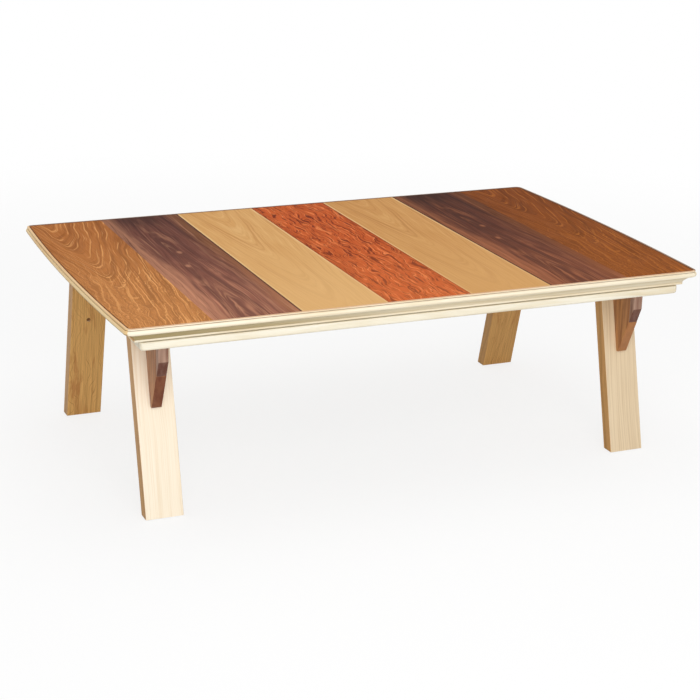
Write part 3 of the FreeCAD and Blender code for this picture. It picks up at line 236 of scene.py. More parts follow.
# The under-frame is pale hardwood: two long rails, two wide end boards and four bars round the
# heater, sanded and lacquered. Its grain follows each length, with fine fibres between the rings.
ALONG_X = (0, 0, -math.pi / 2)
ALONG_Y = (0, 0, 0)
FRAME_LEVEL = 0.403
FRAME_RING = 0.009
RING_WAVES = 7
RING_SLANT = 0.35
GRAIN_CHANGE = 2.2
BAND_ROUGHNESS = 0.62
PALE_FIBRES = (620, 9, 620)
LACQUER = (0.36, 0.5)
GRAIN_DEPTH = 0.0002


def dress(names, finish):
    """Gives pieces that keep their shape their finish."""
    for name in names:
        for held in nodes[name].material_slots:
            held.material = finish.material


def bands(finish, rings, along, slow, seed, detail=3.0):
    """Uneven lines that follow a count of growth rings and change slowly along the grain."""
    points = finish.add("CombineXYZ", {0: rings, 1: finish.times(along, slow)})[0]
    return finish.noise(points, 1, seed, detail, BAND_ROUGHNESS)


def pale_wood(name, light, dark, centre, turn, seed, ring=FRAME_RING, contrast=1.0, gloss=0.25,
              waviness=6.0, bend=1.1):
    """Pale wood with its grain along its own Y. It keeps its grain for a second colour."""
    finish = Finish(name, light, 0.42, Specular_IOR_Level=gloss)
    points = finish.place(centre, turn)
    across, along, deep = finish.parts(points)
    waver = finish.noise(points, (RING_WAVES, bend, RING_WAVES), seed, 2.0)
    side = finish.math("MULTIPLY_ADD", deep, RING_SLANT, across)
    rings = finish.math("MULTIPLY_ADD", waver, waviness, finish.math("DIVIDE", side, ring))
    grain = bands(finish, rings, along, GRAIN_CHANGE, seed + 1)
    fibre = finish.noise(points, PALE_FIBRES, seed + 5, 3.0, 0.6)
    ring_share = finish.spread(grain, 0.4, 0.72, 0.0, 0.8)
    shade = finish.math("MULTIPLY_ADD", finish.spread(fibre, 0.45, 0.75), 0.25, ring_share)
    finish.grain = finish.times(shade, contrast)
    finish.set("Base Color", finish.blend(finish.grain, light, dark))
    finish.set("Roughness", finish.spread(fibre, 0.3, 0.7, *LACQUER))
    finish.bump(fibre, 0.12, GRAIN_DEPTH)
    return finish


FRAME_MIDDLE = (0, 0, FRAME_LEVEL)
rail_wood = pale_wood("rail_wood", tone(250, 244, 226), tone(228, 210, 172), FRAME_MIDDLE, ALONG_X, 2.0)
dress(["frame_rail_front", "frame_rail_back", "heater_crossbar_front", "heater_crossbar_back"], rail_wood)
end_wood = pale_wood("end_board_wood", tone(246, 232, 200), tone(214, 186, 138), FRAME_MIDDLE, ALONG_Y, 4.0)
dress(["end_board_left", "end_board_right", "heater_bar_left", "heater_bar_right"], end_wood)


# Dowels of beech hold the frame's corners. Six rubber pads on the frame carry the board and keep
# it from sliding.
DOWEL_RING = 0.004
beech = pale_wood("beech_dowels", tone(226, 190, 144), tone(186, 140, 96), FRAME_MIDDLE, ALONG_Y, 7.0, DOWEL_RING)
dress(["frame_dowels"], beech)


def mottled(name, tones, gloss, stretch, seed, relief=None, **sockets):
    """A finish that is a little uneven in tone and gloss, as rubber and plated metal are."""
    middle, dark, light = tones
    usual, smooth, rough = gloss
    finish = Finish(name, middle, usual, **sockets)
    mottle = finish.noise(finish.place(), stretch, seed, 3.0)
    finish.set("Base Color", finish.blend(mottle, dark, light))
    finish.set("Roughness", finish.spread(mottle, 0.3, 0.7, smooth, rough))
    if relief:
        finish.bump(mottle, *relief)
    return finish


RUBBER_TONES = (tone(58, 56, 54), tone(44, 42, 41), tone(74, 71, 68))
rubber = mottled("pad_rubber", RUBBER_TONES, (0.8, 0.7, 0.9), 900, 3.0, (0.3, GRAIN_DEPTH), Specular_IOR_Level=0.25)
dress(["top_pads"], rubber)


# Each leg is one leaning board of pale hardwood, its wide faces to the front and back. Its inward face,
# with wavy lines and brown clouds, and its narrow edges are browner with painted shade. A felt is glued under it.
CORNERS = (("front", "left"), ("front", "right"), ("back", "left"), ("back", "right"))
LEG_LEAN = math.atan(100 / 392.5)
LEG_RING = {"front": 0.0038, "back": 0.0019}
LEG_WAVINESS = {"front": 6.0, "back": 16.0}
LEG_BEND = 3.4
LEG_CONTRAST = 0.8
LEG_LINES = 420
LINE_WAVES = (14, 9, 14)
LINE_SWING = 0.09
CLOUD_STRETCH = (30, 7, 30)
LEG_CLOUD = tone(176, 100, 50)
# The narrow edges' browner tones are painted shade.
LEG_EDGE_PAINTED_SHADE = (tone(214, 158, 88), tone(154, 104, 48))
# The left legs' outward faces are written lighter than the right legs': painted light and shade on one wood.
LEG_OUTWARD_PAINTED_LIGHT = {
    "left": (tone(255, 242, 220), tone(236, 212, 176)),
    "right": (tone(236, 214, 180), tone(198, 168, 128)),
}
# The inward faces' browner tones are painted shade.
LEG_INWARD_PAINTED_SHADE = {
    "left": (tone(240, 190, 117), tone(164, 106, 54)),
    "right": (tone(228, 178, 110), tone(160, 105, 54)),
}


def inward_painted_shade(finish, points, light, dark, seed):
    """The inward face of a leg, browner with painted shade: its grain with thin wavy lines and soft clouds over it."""
    cloud = finish.noise(points, CLOUD_STRETCH, 90.0 + seed, 3.0, 0.6, 1.5)
    waves = finish.noise(points, LINE_WAVES, 95.0 + seed, 2.0)
    place = finish.math("MULTIPLY_ADD", waves, LINE_SWING, finish.parts(points)[0])
    lines = finish.noise(finish.add("CombineXYZ", {0: place})[0], (LEG_LINES, 1, 1), 97.0 + seed, 2.0)
    line = finish.times(finish.spread(lines, 0.53, 0.62), 0.5)
    brown = finish.blend(line, finish.blend(finish.grain, light, dark), dark)
    return finish.blend(finish.spread(cloud, 0.52, 0.7, 0.0, 0.5), brown, LEG_CLOUD)


for number, (depth, side) in enumerate(CORNERS):
    leg = f"leg_{depth}_{side}"
    low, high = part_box(leg)
    middle = (low + high) / 2
    facing = 1 if depth == "front" else -1
    turn = (math.pi / 2 - facing * LEG_LEAN, 0, 0)
    finish = pale_wood(f"leg_wood_{depth}_{side}", *LEG_OUTWARD_PAINTED_LIGHT[side], middle, turn, 10.0 + number * 7,
                       LEG_RING[depth], LEG_CONTRAST, waviness=LEG_WAVINESS[depth], bend=LEG_BEND)
    across, outward, _ = finish.parts(finish.add("NewGeometry", {})["True Normal"])
    # the inward face takes the browner painted shade
    brown = inward_painted_shade(finish, finish.place(middle, turn), *LEG_INWARD_PAINTED_SHADE[side], number)
    pale = finish.blend(finish.grain, *LEG_OUTWARD_PAINTED_LIGHT[side])
    wide = finish.blend(finish.spread(outward, facing * 0.3, facing * 0.9), pale, brown)
    # painted shade on the narrow edges
    narrow = finish.spread(finish.size_of(across), 0.6, 0.95, 0.0, 0.9)
    finish.set("Base Color", finish.blend(narrow, wide, finish.blend(finish.grain, *LEG_EDGE_PAINTED_SHADE)))
    dress([leg], finish)

felt = Finish("foot_felt", tone(120, 104, 88), 0.95, Specular_IOR_Level=0.05)
hair = felt.noise(felt.place(), 700, 5.0, 4.0, 0.7, 1.5)
felt.set("Base Color", felt.blend(felt.spread(hair, 0.35, 0.65), tone(92, 78, 64), tone(146, 128, 108)))
felt.bump(hair, 0.6, 0.0006)
dress(["foot_felts"], felt)


# The brackets are walnut: a main piece against the leg and a strip glued to its front, with every
# edge eased by sandpaper. They are copies of the plain pieces with those edges rounded. Their faces
# that look down carry painted shade.
BRACKET_EASE = 0.0009
EASE_ANGLE = math.radians(35)
FLAT_ANGLE = math.radians(0.5)
TWIN_DISTANCE = 1e-6
UPRIGHT = (math.pi / 2, 0, 0)
BRACKET_STREAKS = (90, 6, 90)
BRACKET_FIBRES = (900, 22, 900)
BELOW_SHADE_SHARE = 0.74
# light, dark, and the painted shade of the faces that look down
BRACKET_TONES_WITH_SHADE = {
    "left": (tone(190, 133, 90), tone(135, 83, 52), tone(96, 34, 10)),
    "right": (tone(196, 138, 84), tone(140, 86, 48), tone(172, 112, 62)),
}
# The strip's light tone is greyed and purpler as a painted sheen; its third tone is painted shade.
STRIP_SHEEN_AND_SHADE_TONES = (tone(184, 148, 128), tone(122, 78, 56), tone(84, 30, 14))


def settle(piece):
    """Makes a piece's live shape its plain mesh."""
    bpy.context.view_layer.update()
    solid = bpy.data.meshes.new_from_object(piece.evaluated_get(bpy.context.evaluated_depsgraph_get()))
    piece.modifiers.clear()
    piece.data = solid


def eased_copy(name, node):
    """The plain piece's shape as a new piece with rounded edges, which stands for it."""
    mesh = nodes[node].data.copy()
    mesh.name = name
    shape = bmesh.new()
    shape.from_mesh(mesh)
    bmesh.ops.remove_doubles(shape, verts=shape.verts, dist=TWIN_DISTANCE)
    bmesh.ops.dissolve_limit(shape, angle_limit=FLAT_ANGLE, verts=shape.verts, edges=shape.edges)
    shape.to_mesh(mesh)
    shape.free()
    mesh.shade_smooth()
    piece = bpy.data.objects.new(name, mesh)
    studio.link(piece)
    rounding = piece.modifiers.new("eased_edges", "BEVEL")
    rounding.width = BRACKET_EASE
    rounding.segments = 2
    rounding.limit_method = "ANGLE"
    rounding.angle_limit = EASE_ANGLE
    rounding.harden_normals = True
    settle(piece)
    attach(piece, "base")
    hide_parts(node)
    return piece


def bracket_wood(name, light, dark, below, centre, seed):
    """Walnut with its grain upright, with painted shade, darker or redder, on the faces that look down."""
    finish = Finish(name, light, 0.4, Specular_IOR_Level=0.4)
    points = finish.place(centre, UPRIGHT)
    streak = finish.noise(points, BRACKET_STREAKS, seed, 3.0, 0.6)
    fibre = finish.noise(points, BRACKET_FIBRES, seed + 1, 2.0)
    streak_share = finish.spread(streak, 0.36, 0.66, 0.0, 0.8)
    share = finish.math("MULTIPLY_ADD", finish.spread(fibre, 0.4, 0.7), 0.25, streak_share)
    facing = finish.parts(finish.add("NewGeometry", {})["True Normal"])[2]
    # painted shade on the faces that look down
    downward_shade = finish.spread(facing, -0.15, -0.35, 0.0, BELOW_SHADE_SHARE)
    finish.set("Base Color", finish.blend(downward_shade, finish.blend(share, light, dark), below))
    finish.set("Roughness", finish.spread(fibre, 0.3, 0.7, 0.32, 0.5))
    finish.bump(fibre, 0.15, GRAIN_DEPTH)
    return finish


for number, (depth, side) in enumerate(CORNERS):
    corner = f"{depth}_{side}"
    low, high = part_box(f"bracket_{corner}")
    for kind, tones, seed in (("bracket", BRACKET_TONES_WITH_SHADE[side], 31.0), ("bracket_strip", STRIP_SHEEN_AND_SHADE_TONES, 35.0)):
        piece = eased_copy(f"{kind}_{corner}_eased", f"{kind}_{corner}")
        wood = bracket_wood(f"{kind}_wood_{corner}", *tones, (low + high) / 2, seed + 11 * number)
        piece.data.materials.clear()
        piece.data.materials.append(wood.material)


# Hanger bolts with washers and nuts hold the legs, in bright zinc-plated steel like the heater's
# screws. The brackets' screws are bronzed. Each screw has a cross recess and a rolled thread.
SCREW_FACES = 24
RECESS_LENGTH = 1.15
RECESS_WIDTH = 0.3
RECESS_DEPTH = 0.6
CORE_SHARE = 0.8
THREAD_SHARE = 0.14
THREAD_SIDES = 12
RIDGE_SIDES = 4
TIP_LENGTH = 2.5
TIP_RADIUS = 0.0001
SCREWS = {
    # in metres: radius of the head's outer and inner end, its height, radius and length of the
    # shank, pitch of the thread
    "bracket_top_screws": (0.0048, 0.0026, 0.003, 0.0025, 0.042, 0.0026),
    "bracket_leg_screws": (0.0048, 0.0026, 0.003, 0.0025, 0.043, 0.0026),
    "heater_mount_screws": (0.0034, 0.004, 0.0024, 0.002, 0.02, 0.0018),
    "bezel_screws": (0.0025, 0.003, 0.002, 0.0015, 0.016, 0.0014),
}
ZINC_TONES = (tone(200, 202, 205), tone(178, 181, 186), tone(216, 217, 214))
BRONZE_TONES = (tone(170, 122, 74), tone(150, 102, 58), tone(190, 142, 92))
zinc = mottled("zinc_plate", ZINC_TONES, (0.32, 0.25, 0.42), 260, 2.0, (0.1, 0.0001), Metallic=0.95)
dress(["leg_hanger_bolts", "leg_washers", "leg_nuts"], zinc)
bronzed = mottled("bronzed_steel", BRONZE_TONES, (0.45, 0.32, 0.5), 300, 5.0, (0.1, 0.0001), Metallic=0.4)


class Tree:
    """A geometry node tree that is built one call at a time, with named inputs."""
    def __init__(self, name, **inputs):
        self.group = bpy.data.node_groups.new(name, "GeometryNodeTree")
        self.group.interface.new_socket("Shape", in_out="INPUT", socket_type="NodeSocketGeometry")
        self.given = {}
        for label, kind in inputs.items():
            self.given[label] = self.group.interface.new_socket(label, in_out="INPUT", socket_type=f"NodeSocket{kind}")
        self.group.interface.new_socket("Result", in_out="OUTPUT", socket_type="NodeSocketGeometry")
        self.entry = self.group.nodes.new("NodeGroupInput").outputs
        self.exit = self.group.nodes.new("NodeGroupOutput").inputs

    def add(self, kind, inputs, **settings):
        node = self.group.nodes.new(kind)
        for name, setting in settings.items():
            setattr(node, name, setting)
        for socket, given in inputs.items():
            for each in given if isinstance(given, list) else [given]:
                if isinstance(each, bpy.types.NodeSocket):
                    self.group.links.new(each, node.inputs[socket])
                else:
                    node.inputs[socket].default_value = each
        return node.outputs

    def math(self, operation, *given):
        return self.add("ShaderNodeMath", dict(enumerate(given)), operation=operation)[0]

    def raised(self, shape, height):
        lift = self.add("ShaderNodeCombineXYZ", {2: height})[0]
        return self.add("GeometryNodeTransform", {"Geometry": shape, "Translation": lift})[0]

    def close(self, shape, finish):
        """Ends the tree in real geometry with its material, which may be one of its inputs."""
        real = self.add("GeometryNodeRealizeInstances", {0: shape})[0]
        dressed = self.add("GeometryNodeSetMaterial", {0: real, "Material": finish})[0]
        self.group.links.new(dressed, self.exit[0])

    def make(self, name, start, values):
        """The tree's result on a start mesh, as a plain piece."""
        piece = bpy.data.objects.new(name, start)
        studio.link(piece)
        grower = piece.modifiers.new("grower", "NODES")
        grower.node_group = self.group
        for label, given in values.items():
            grower[self.given[label].identifier] = given
        settle(piece)
        return piece


def shells(node):
    """The corner points of each separate screw of a group."""
    shape = bmesh.new()
    shape.from_mesh(nodes[node].data)
    bmesh.ops.remove_doubles(shape, verts=shape.verts, dist=TWIN_DISTANCE)
    left = dict.fromkeys(shape.verts)
    found = []
    while left:
        reached = [left.popitem()[0]]
        for corner in reached:
            for edge in corner.link_edges:
                other = edge.other_vert(corner)
                if other in left:
                    left.pop(other)
                    reached.append(other)
        found.append([corner.co.copy() for corner in reached])
    shape.free()
    return found


def screw_way(node, middle):
    """The direction in which a screw of a piece was driven, from where it stands."""
    if node == "bracket_top_screws":
        return Vector((0, 0, -1))
    if node == "heater_mount_screws":
        return Vector((0, 0, 1))
    outward = 1 if node == "bracket_leg_screws" else -1
    return Vector((0, math.copysign(1, middle.y) * outward, 0))


screw = Tree("screw_maker", outer="Float", inner="Float", head="Float", shank="Float", reach="Float",
             pitch="Float", finish="Material")
size = screw.entry
crown = screw.add("GeometryNodeMeshCone", {"Vertices": SCREW_FACES, "Side Segments": 2, "Radius Top": size["inner"],
                                           "Radius Bottom": size["outer"], "Depth": size["head"]})["Mesh"]
long_arm = screw.math("MULTIPLY", size["outer"], RECESS_LENGTH)
short_arm = screw.math("MULTIPLY", size["outer"], RECESS_WIDTH)
cut_depth = screw.math("MULTIPLY", size["head"], 2 * RECESS_DEPTH)
arms = []
for wide, deep in ((long_arm, short_arm), (short_arm, long_arm)):
    arm = screw.add("ShaderNodeCombineXYZ", {0: wide, 1: deep, 2: cut_depth})[0]
    arms.append(screw.add("GeometryNodeMeshCube", {"Size": arm})["Mesh"])
crown = screw.add("GeometryNodeMeshBoolean", {"Mesh 1": crown, "Mesh 2": arms}, operation="DIFFERENCE")["Mesh"]
core = screw.math("MULTIPLY", size["shank"], CORE_SHARE)
tip = screw.math("MULTIPLY", size["shank"], TIP_LENGTH)
straight = screw.math("SUBTRACT", size["reach"], tip)
shank = screw.add("GeometryNodeMeshCylinder", {"Vertices": THREAD_SIDES, "Radius": core, "Depth": straight})["Mesh"]
shank = screw.raised(shank, screw.math("MULTIPLY_ADD", straight, 0.5, size["head"]))
point = screw.add("GeometryNodeMeshCone", {"Vertices": THREAD_SIDES, "Radius Top": TIP_RADIUS,
                                           "Radius Bottom": core, "Depth": tip})["Mesh"]
point = screw.raised(point, screw.math("ADD", straight, size["head"]))
turns = screw.math("DIVIDE", straight, size["pitch"])
ridge = screw.math("MULTIPLY", size["shank"], THREAD_SHARE)
crest = screw.math("SUBTRACT", size["shank"], ridge)
helix = screw.add("GeometryNodeCurveSpiral", {"Resolution": THREAD_SIDES, "Rotations": turns, "Start Radius": crest,
                                              "End Radius": crest, "Height": straight})[0]
helix = screw.raised(helix, size["head"])
profile = screw.add("GeometryNodeCurvePrimitiveCircle", {"Resolution": RIDGE_SIDES, "Radius": ridge})[0]
thread = screw.add("GeometryNodeCurveToMesh", {"Curve": helix, "Profile Curve": profile, "Fill Caps": True})[0]
whole = screw.add("GeometryNodeJoinGeometry", {0: [crown, shank, point, thread]})[0]
aim = screw.add("GeometryNodeInputNamedAttribute", {"Name": "aim"}, data_type="FLOAT_VECTOR")["Attribute"]
turned = screw.add("FunctionNodeAlignRotationToVector", {"Vector": aim}, axis="Z")[0]
set_out = screw.add("GeometryNodeInstanceOnPoints", {"Points": size["Shape"], "Instance": whole,
                                                     "Rotation": turned})[0]
screw.close(set_out, size["finish"])

for node, sizes in SCREWS.items():
    starts, aims = [], []
    for points in shells(node):
        middle = sum(points, Vector()) / len(points)
        way = screw_way(node, middle)
        starts.append(middle + way * min((point - middle).dot(way) for point in points))
        aims.append(way)
    mesh = bpy.data.meshes.new(f"{node}_starts")
    mesh.from_pydata(starts, [], [])
    held = mesh.attributes.new("aim", "FLOAT_VECTOR", "POINT")
    held.data.foreach_set("vector", [number for way in aims for number in way])
    values = dict(zip(("outer", "inner", "head", "shank", "reach", "pitch"), sizes))
    values["finish"] = bronzed.material if node.startswith("bracket") else zinc.material
    piece = screw.make(f"{node}_threaded", mesh, values)
    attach(piece, "base")
    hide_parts(node)


# The heater hangs under the board's middle: a pan of pressed zinc-coated steel screwed to the four
# bars, with a dark moulded bezel round its lower rim.
SPANGLES = 95.0
MOULD_DEPTH = 0.00008

galvanised = Finish("galvanised_sheet", tone(176, 180, 184), 0.4, Metallic=0.85)
points = galvanised.place()
spangle = galvanised.add("TexVoronoi", {"Vector": points, "Scale": SPANGLES}, voronoi_dimensions="3D")["Color"]
spangle = galvanised.parts(spangle)[0]
mottle = galvanised.noise(points, 220, 3.0, 3.0)
share = galvanised.math("MULTIPLY_ADD", spangle, 0.6, galvanised.times(mottle, 0.4))
galvanised.set("Base Color", galvanised.blend(share, tone(150, 155, 160), tone(196, 199, 202)))
galvanised.set("Roughness", galvanised.spread(share, 0.2, 0.8, 0.32, 0.5))
galvanised.bump(mottle, 0.08, 0.0002)
dress(["heater_housing"], galvanised)


def moulded(name, dark, light, roughness):
    """Moulded plastic with a fine spark-eroded grain."""
    finish = Finish(name, light, roughness, Specular_IOR_Level=0.45)
    points = finish.place()
    fine = finish.noise(points, 1400, 1.0, 2.0)
    slow = finish.noise(points, 18, 4.0, 2.0)
    finish.set("Base Color", finish.blend(finish.spread(slow, 0.3, 0.7), dark, light))
    finish.set("Roughness", finish.spread(fine, 0.3, 0.7, roughness - 0.06, roughness + 0.08))
    finish.bump(fine, 0.25, MOULD_DEPTH)
    return finish


dress(["heater_bezel"], moulded("bezel_plastic", tone(62, 50, 42), tone(74, 60, 50), 0.48))


# The guard is a steel frame with welded wires, dipped in a dark flocked paint that stays cool to
# the touch. It clips into the bezel and keeps feet off the tubes.
flock = Finish("flocked_paint", tone(70, 56, 47), 0.85, Specular_IOR_Level=0.15)
nap = flock.noise(flock.place(), 2600, 2.0, 3.0, 0.7)
flock.set("Base Color", flock.blend(nap, tone(48, 38, 31), tone(92, 75, 63)))
flock.bump(nap, 0.5, 0.0002)
dress(["heater_guard", "guard_wires"], flock)


# The tray above the tubes is bright rolled aluminium, pressed with four sloping sides up to a flat
# crown. It rests on the bezel's ledge inside the pan and throws the heat down.
bright = Finish("reflector_aluminium", tone(226, 228, 230), 0.2, Metallic=1.0)
points = bright.place()
rolled = bright.noise(points, (12, 900, 900), 3.0, 3.0)
stain = bright.noise(points, 14, 6.0, 2.0)
bright.set("Base Color", bright.blend(bright.spread(stain, 0.35, 0.7), tone(232, 233, 234), tone(206, 205, 200)))
bright.set("Roughness", bright.spread(rolled, 0.3, 0.7, 0.14, 0.3))
bright.bump(rolled, 0.06, 0.0001)
dress(["reflector_tray"], bright)


# Two quartz tubes lie in white ceramic holders, each with a coil of resistance wire inside. The
# coil is one close helix, wound on a mandrel and stretched.
COIL_RADIUS = 0.0045
COIL_WIRE = 0.00045
COIL_PITCH = 0.0026
COIL_STEPS = 16
WIRE_SIDES = 6

quartz = Finish("quartz_glass", tone(250, 250, 250), 0.06, IOR=1.46, Transmission_Weight=0.92)
points = quartz.place()
haze = quartz.noise(points, 160, 5.0, 3.0)
quartz.set("Base Color", quartz.blend(haze, tone(244, 246, 248), tone(255, 255, 255)))
quartz.set("Roughness", quartz.spread(haze, 0.3, 0.75, 0.03, 0.16))
dress(["quartz_tubes"], quartz)

ceramic = Finish("holder_ceramic", tone(236, 232, 224), 0.35, Specular_IOR_Level=0.5)
points = ceramic.place()
speck = ceramic.noise(points, 700, 2.0, 2.0)
cloud = ceramic.noise(points, 60, 8.0, 2.0)
shade = ceramic.blend(ceramic.spread(cloud, 0.3, 0.7), tone(240, 237, 230), tone(226, 220, 208))
ceramic.set("Base Color", ceramic.blend(ceramic.spread(speck, 0.68, 0.76), shade, tone(178, 170, 156)))
ceramic.bump(cloud, 0.08, 0.0004)
dress(["tube_holders"], ceramic)

WIRE_TONES = (tone(108, 102, 98), tone(78, 72, 70), tone(140, 130, 120))
nichrome = mottled("resistance_wire", WIRE_TONES, (0.42, 0.34, 0.55), 900, 1.0, Metallic=0.9)

coil = Tree("coil_maker", radius="Float", wire="Float", length="Float", pitch="Float")
size = coil.entry
turns = coil.math("DIVIDE", size["length"], size["pitch"])
bent = coil.math("SUBTRACT", size["radius"], size["wire"])
helix = coil.add("GeometryNodeCurveSpiral", {"Resolution": COIL_STEPS, "Rotations": turns, "Start Radius": bent,
                                             "End Radius": bent, "Height": size["length"]})[0]
round_wire = coil.add("GeometryNodeCurvePrimitiveCircle", {"Resolution": WIRE_SIDES, "Radius": size["wire"]})[0]
wound = coil.add("GeometryNodeCurveToMesh", {"Curve": helix, "Profile Curve": round_wire, "Fill Caps": True})[0]
lying = coil.add("GeometryNodeTransform", {"Geometry": wound, "Rotation": (0.0, math.pi / 2, 0.0)})[0]
laid = coil.add("GeometryNodeInstanceOnPoints", {"Points": size["Shape"], "Instance": lying})[0]
coil.close(laid, nichrome.material)
low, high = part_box("heating_coils")
level = (low.z + high.z) / 2
starts = bpy.data.meshes.new("coil_starts")
starts.from_pydata([(low.x + COIL_WIRE, y, level) for y in (low.y + COIL_RADIUS, high.y - COIL_RADIUS)], [], [])
length = high.x - low.x - 2 * COIL_WIRE
sizes = {"radius": COIL_RADIUS, "wire": COIL_WIRE, "length": length, "pitch": COIL_PITCH}
coils = coil.make("heating_coils_wound", starts, sizes)
coils.data.shade_smooth()
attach(coils, "base")
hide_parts("heating_coils")


# A small motor stands on the tray over a hole and turns a seven-bladed fan of heat-proof plastic
# on a steel shaft, which spreads the warm air.
CAN_TONES = (tone(168, 170, 172), tone(146, 148, 150), tone(190, 191, 190))
can_steel = mottled("motor_can", CAN_TONES, (0.35, 0.26, 0.44), (240, 240, 26), 2.0, (0.06, 0.0001), Metallic=0.9)
dress(["fan_motor"], can_steel)
dress(["fan_shaft"], zinc)
dress(["fan_impeller"], moulded("impeller_plastic", tone(50, 50, 52), tone(64, 64, 66), 0.42))


# Next to the fan sit a bimetal thermostat, a thermal fuse and a terminal block. The inlet for the
# power lead is black plastic with two nickel-plated pins.
dress(["thermostat"], moulded("thermostat_resin", tone(104, 66, 42), tone(122, 80, 52), 0.5))
dress(["thermal_fuse"], ceramic)
dress(["terminal_block"], moulded("terminal_resin", tone(222, 214, 196), tone(234, 228, 212), 0.45))
dress(["power_inlet"], moulded("inlet_plastic", tone(30, 30, 31), tone(42, 42, 43), 0.4))
NICKEL_TONES = (tone(206, 200, 188), tone(192, 186, 174), tone(218, 213, 202))
nickel = mottled("nickel_plate", NICKEL_TONES, (0.22, 0.16, 0.34), 420, 7.0, Metallic=1.0)
dress(["inlet_pins"], nickel)


# The board lifts off its frame. Its core is pressed fibreboard, with the veneers glued on top and
# a plain pale sheet under it.
CHIP_STRETCH = (380, 380, 900)
BACKING_MIDDLE = (0, 0, 0.414)
BACKING_RING = 0.016

fibreboard = Finish("fibreboard", tone(176, 146, 108), 0.8, Specular_IOR_Level=0.1)
chip = fibreboard.noise(fibreboard.place(), CHIP_STRETCH, 2.0, 4.0, 0.7)
chips = fibreboard.blend(fibreboard.spread(chip, 0.35, 0.65), tone(150, 120, 84), tone(196, 168, 128))
fibreboard.set("Base Color", chips)
fibreboard.bump(chip, 0.3, 0.0003)
dress(["top_core"], fibreboard)
backing = pale_wood("backing_sheet", tone(232, 220, 196), tone(206, 188, 156), BACKING_MIDDLE, ALONG_X, 21.0,
                    BACKING_RING, 0.8)
dress(["top_backing"], backing)


# Seven stripes of sliced veneer run from front to back. The outer pair is zelkova: brown, with
# nested pale lines that curl busily towards the front. The right-hand leaf is the next slice.
TOP = 0.45
STRIPE_PITCH = 0.192
END_STRIPE_CENTRE = 0.5775
VENEER_SHINE = 0.012
SATIN = (0.44, 0.58)
PORES = 430
PORE_SPAN = (0.42, 0.72)
PORE_DEPTH = 0.00015
GLUE_LINE = 0.0015
BACK_LINE = 0.004
VENEER_EDGE = 0.417
LEAF_FRONT = -0.42
BOW_CENTRE = 6.55625
BOW_RADIUS = 7.22325
LINE_DARK = 0.55
LINE_SHADE = tone(20, 12, 8)


def leaf(name, colour, centre):
    """A finish for one leaf of veneer, with its flat points and its places across and along."""
    finish = Finish(name, colour, 0.5, Specular_IOR_Level=VENEER_SHINE)
    flat = finish.vector("MULTIPLY", finish.place(centre), (1, 1, 0))
    across, along, _ = finish.parts(flat)
    return finish, flat, across, along


def pores(finish, flat, slow, seed):
    """Fine pores that run with the grain."""
    return finish.noise(flat, (PORES, slow, PORES), seed, 3.0, 0.6)


def seal(finish, pore, strength=0.1):
    """A satin lacquer, through which the pores are felt."""
    finish.set("Roughness", finish.spread(pore, 0.3, 0.7, *SATIN))
    finish.bump(pore, strength, PORE_DEPTH)


def drift(finish, points, stretch, seed, *shape):
    """A slow wander to both sides of nothing."""
    return finish.math("SUBTRACT", finish.noise(points, stretch, seed, *shape), 0.5)


def tinted(finish, colour, tint, mark, start, end, share):
    """The colour with a share of a tint where a mark passes from start to end."""
    return finish.blend(finish.spread(mark, start, end, 0.0, share), colour, tint)


def glue_and_shade_edge(finish, along, colour, dark):
    """The colour with a thin dark glue line where the veneer meets the front moulding, and a deeper line at the back,
    darkened with painted shade.
    """
    front = finish.spread(along, GLUE_LINE - VENEER_EDGE, -VENEER_EDGE, 0.0, 0.7)
    # painted shade deepens the line at the back
    back = finish.spread(along, VENEER_EDGE - BACK_LINE, VENEER_EDGE - BACK_LINE / 2, 0.0, 0.9)
    deep = finish.blend(LINE_DARK, dark, LINE_SHADE)
    return finish.blend(back, finish.blend(front, colour, dark), deep)


def bowed_edge(finish, bow, colour, dark):
    """The deeper line, glue darkened with painted shade, along an end, whose bow is part of a very large circle."""
    points = finish.vector("MULTIPLY", finish.vector("SUBTRACT", finish.place(), (bow, 0, 0)), (1, 1, 0))
    near = finish.spread(finish.span(points), BOW_RADIUS - BACK_LINE, BOW_RADIUS - BACK_LINE / 2, 0.0, 0.9)
    return finish.blend(near, colour, finish.blend(LINE_DARK, dark, LINE_SHADE))


def flame(finish, side, along, depth, taper, ring, waver=0.0):
    """A count of growth rings that peaks along the grain: rounded arches, one for each ring."""
    rise = finish.math("SQRT", finish.math("MULTIPLY_ADD", side, side, depth * depth))
    count = finish.math("MULTIPLY_ADD", along, -taper, rise)
    return finish.math("ADD", finish.math("DIVIDE", count, ring), waver)


ZELKOVA_WANDER = 0.05
ZELKOVA_CRINKLE = 0.034
ZELKOVA_HEART = 0.017
HEART_LEAN = 0.06
FLANK_SLOPE = 1.15
FLANK_SKEW = -0.45
WILD_LINES = 230.0


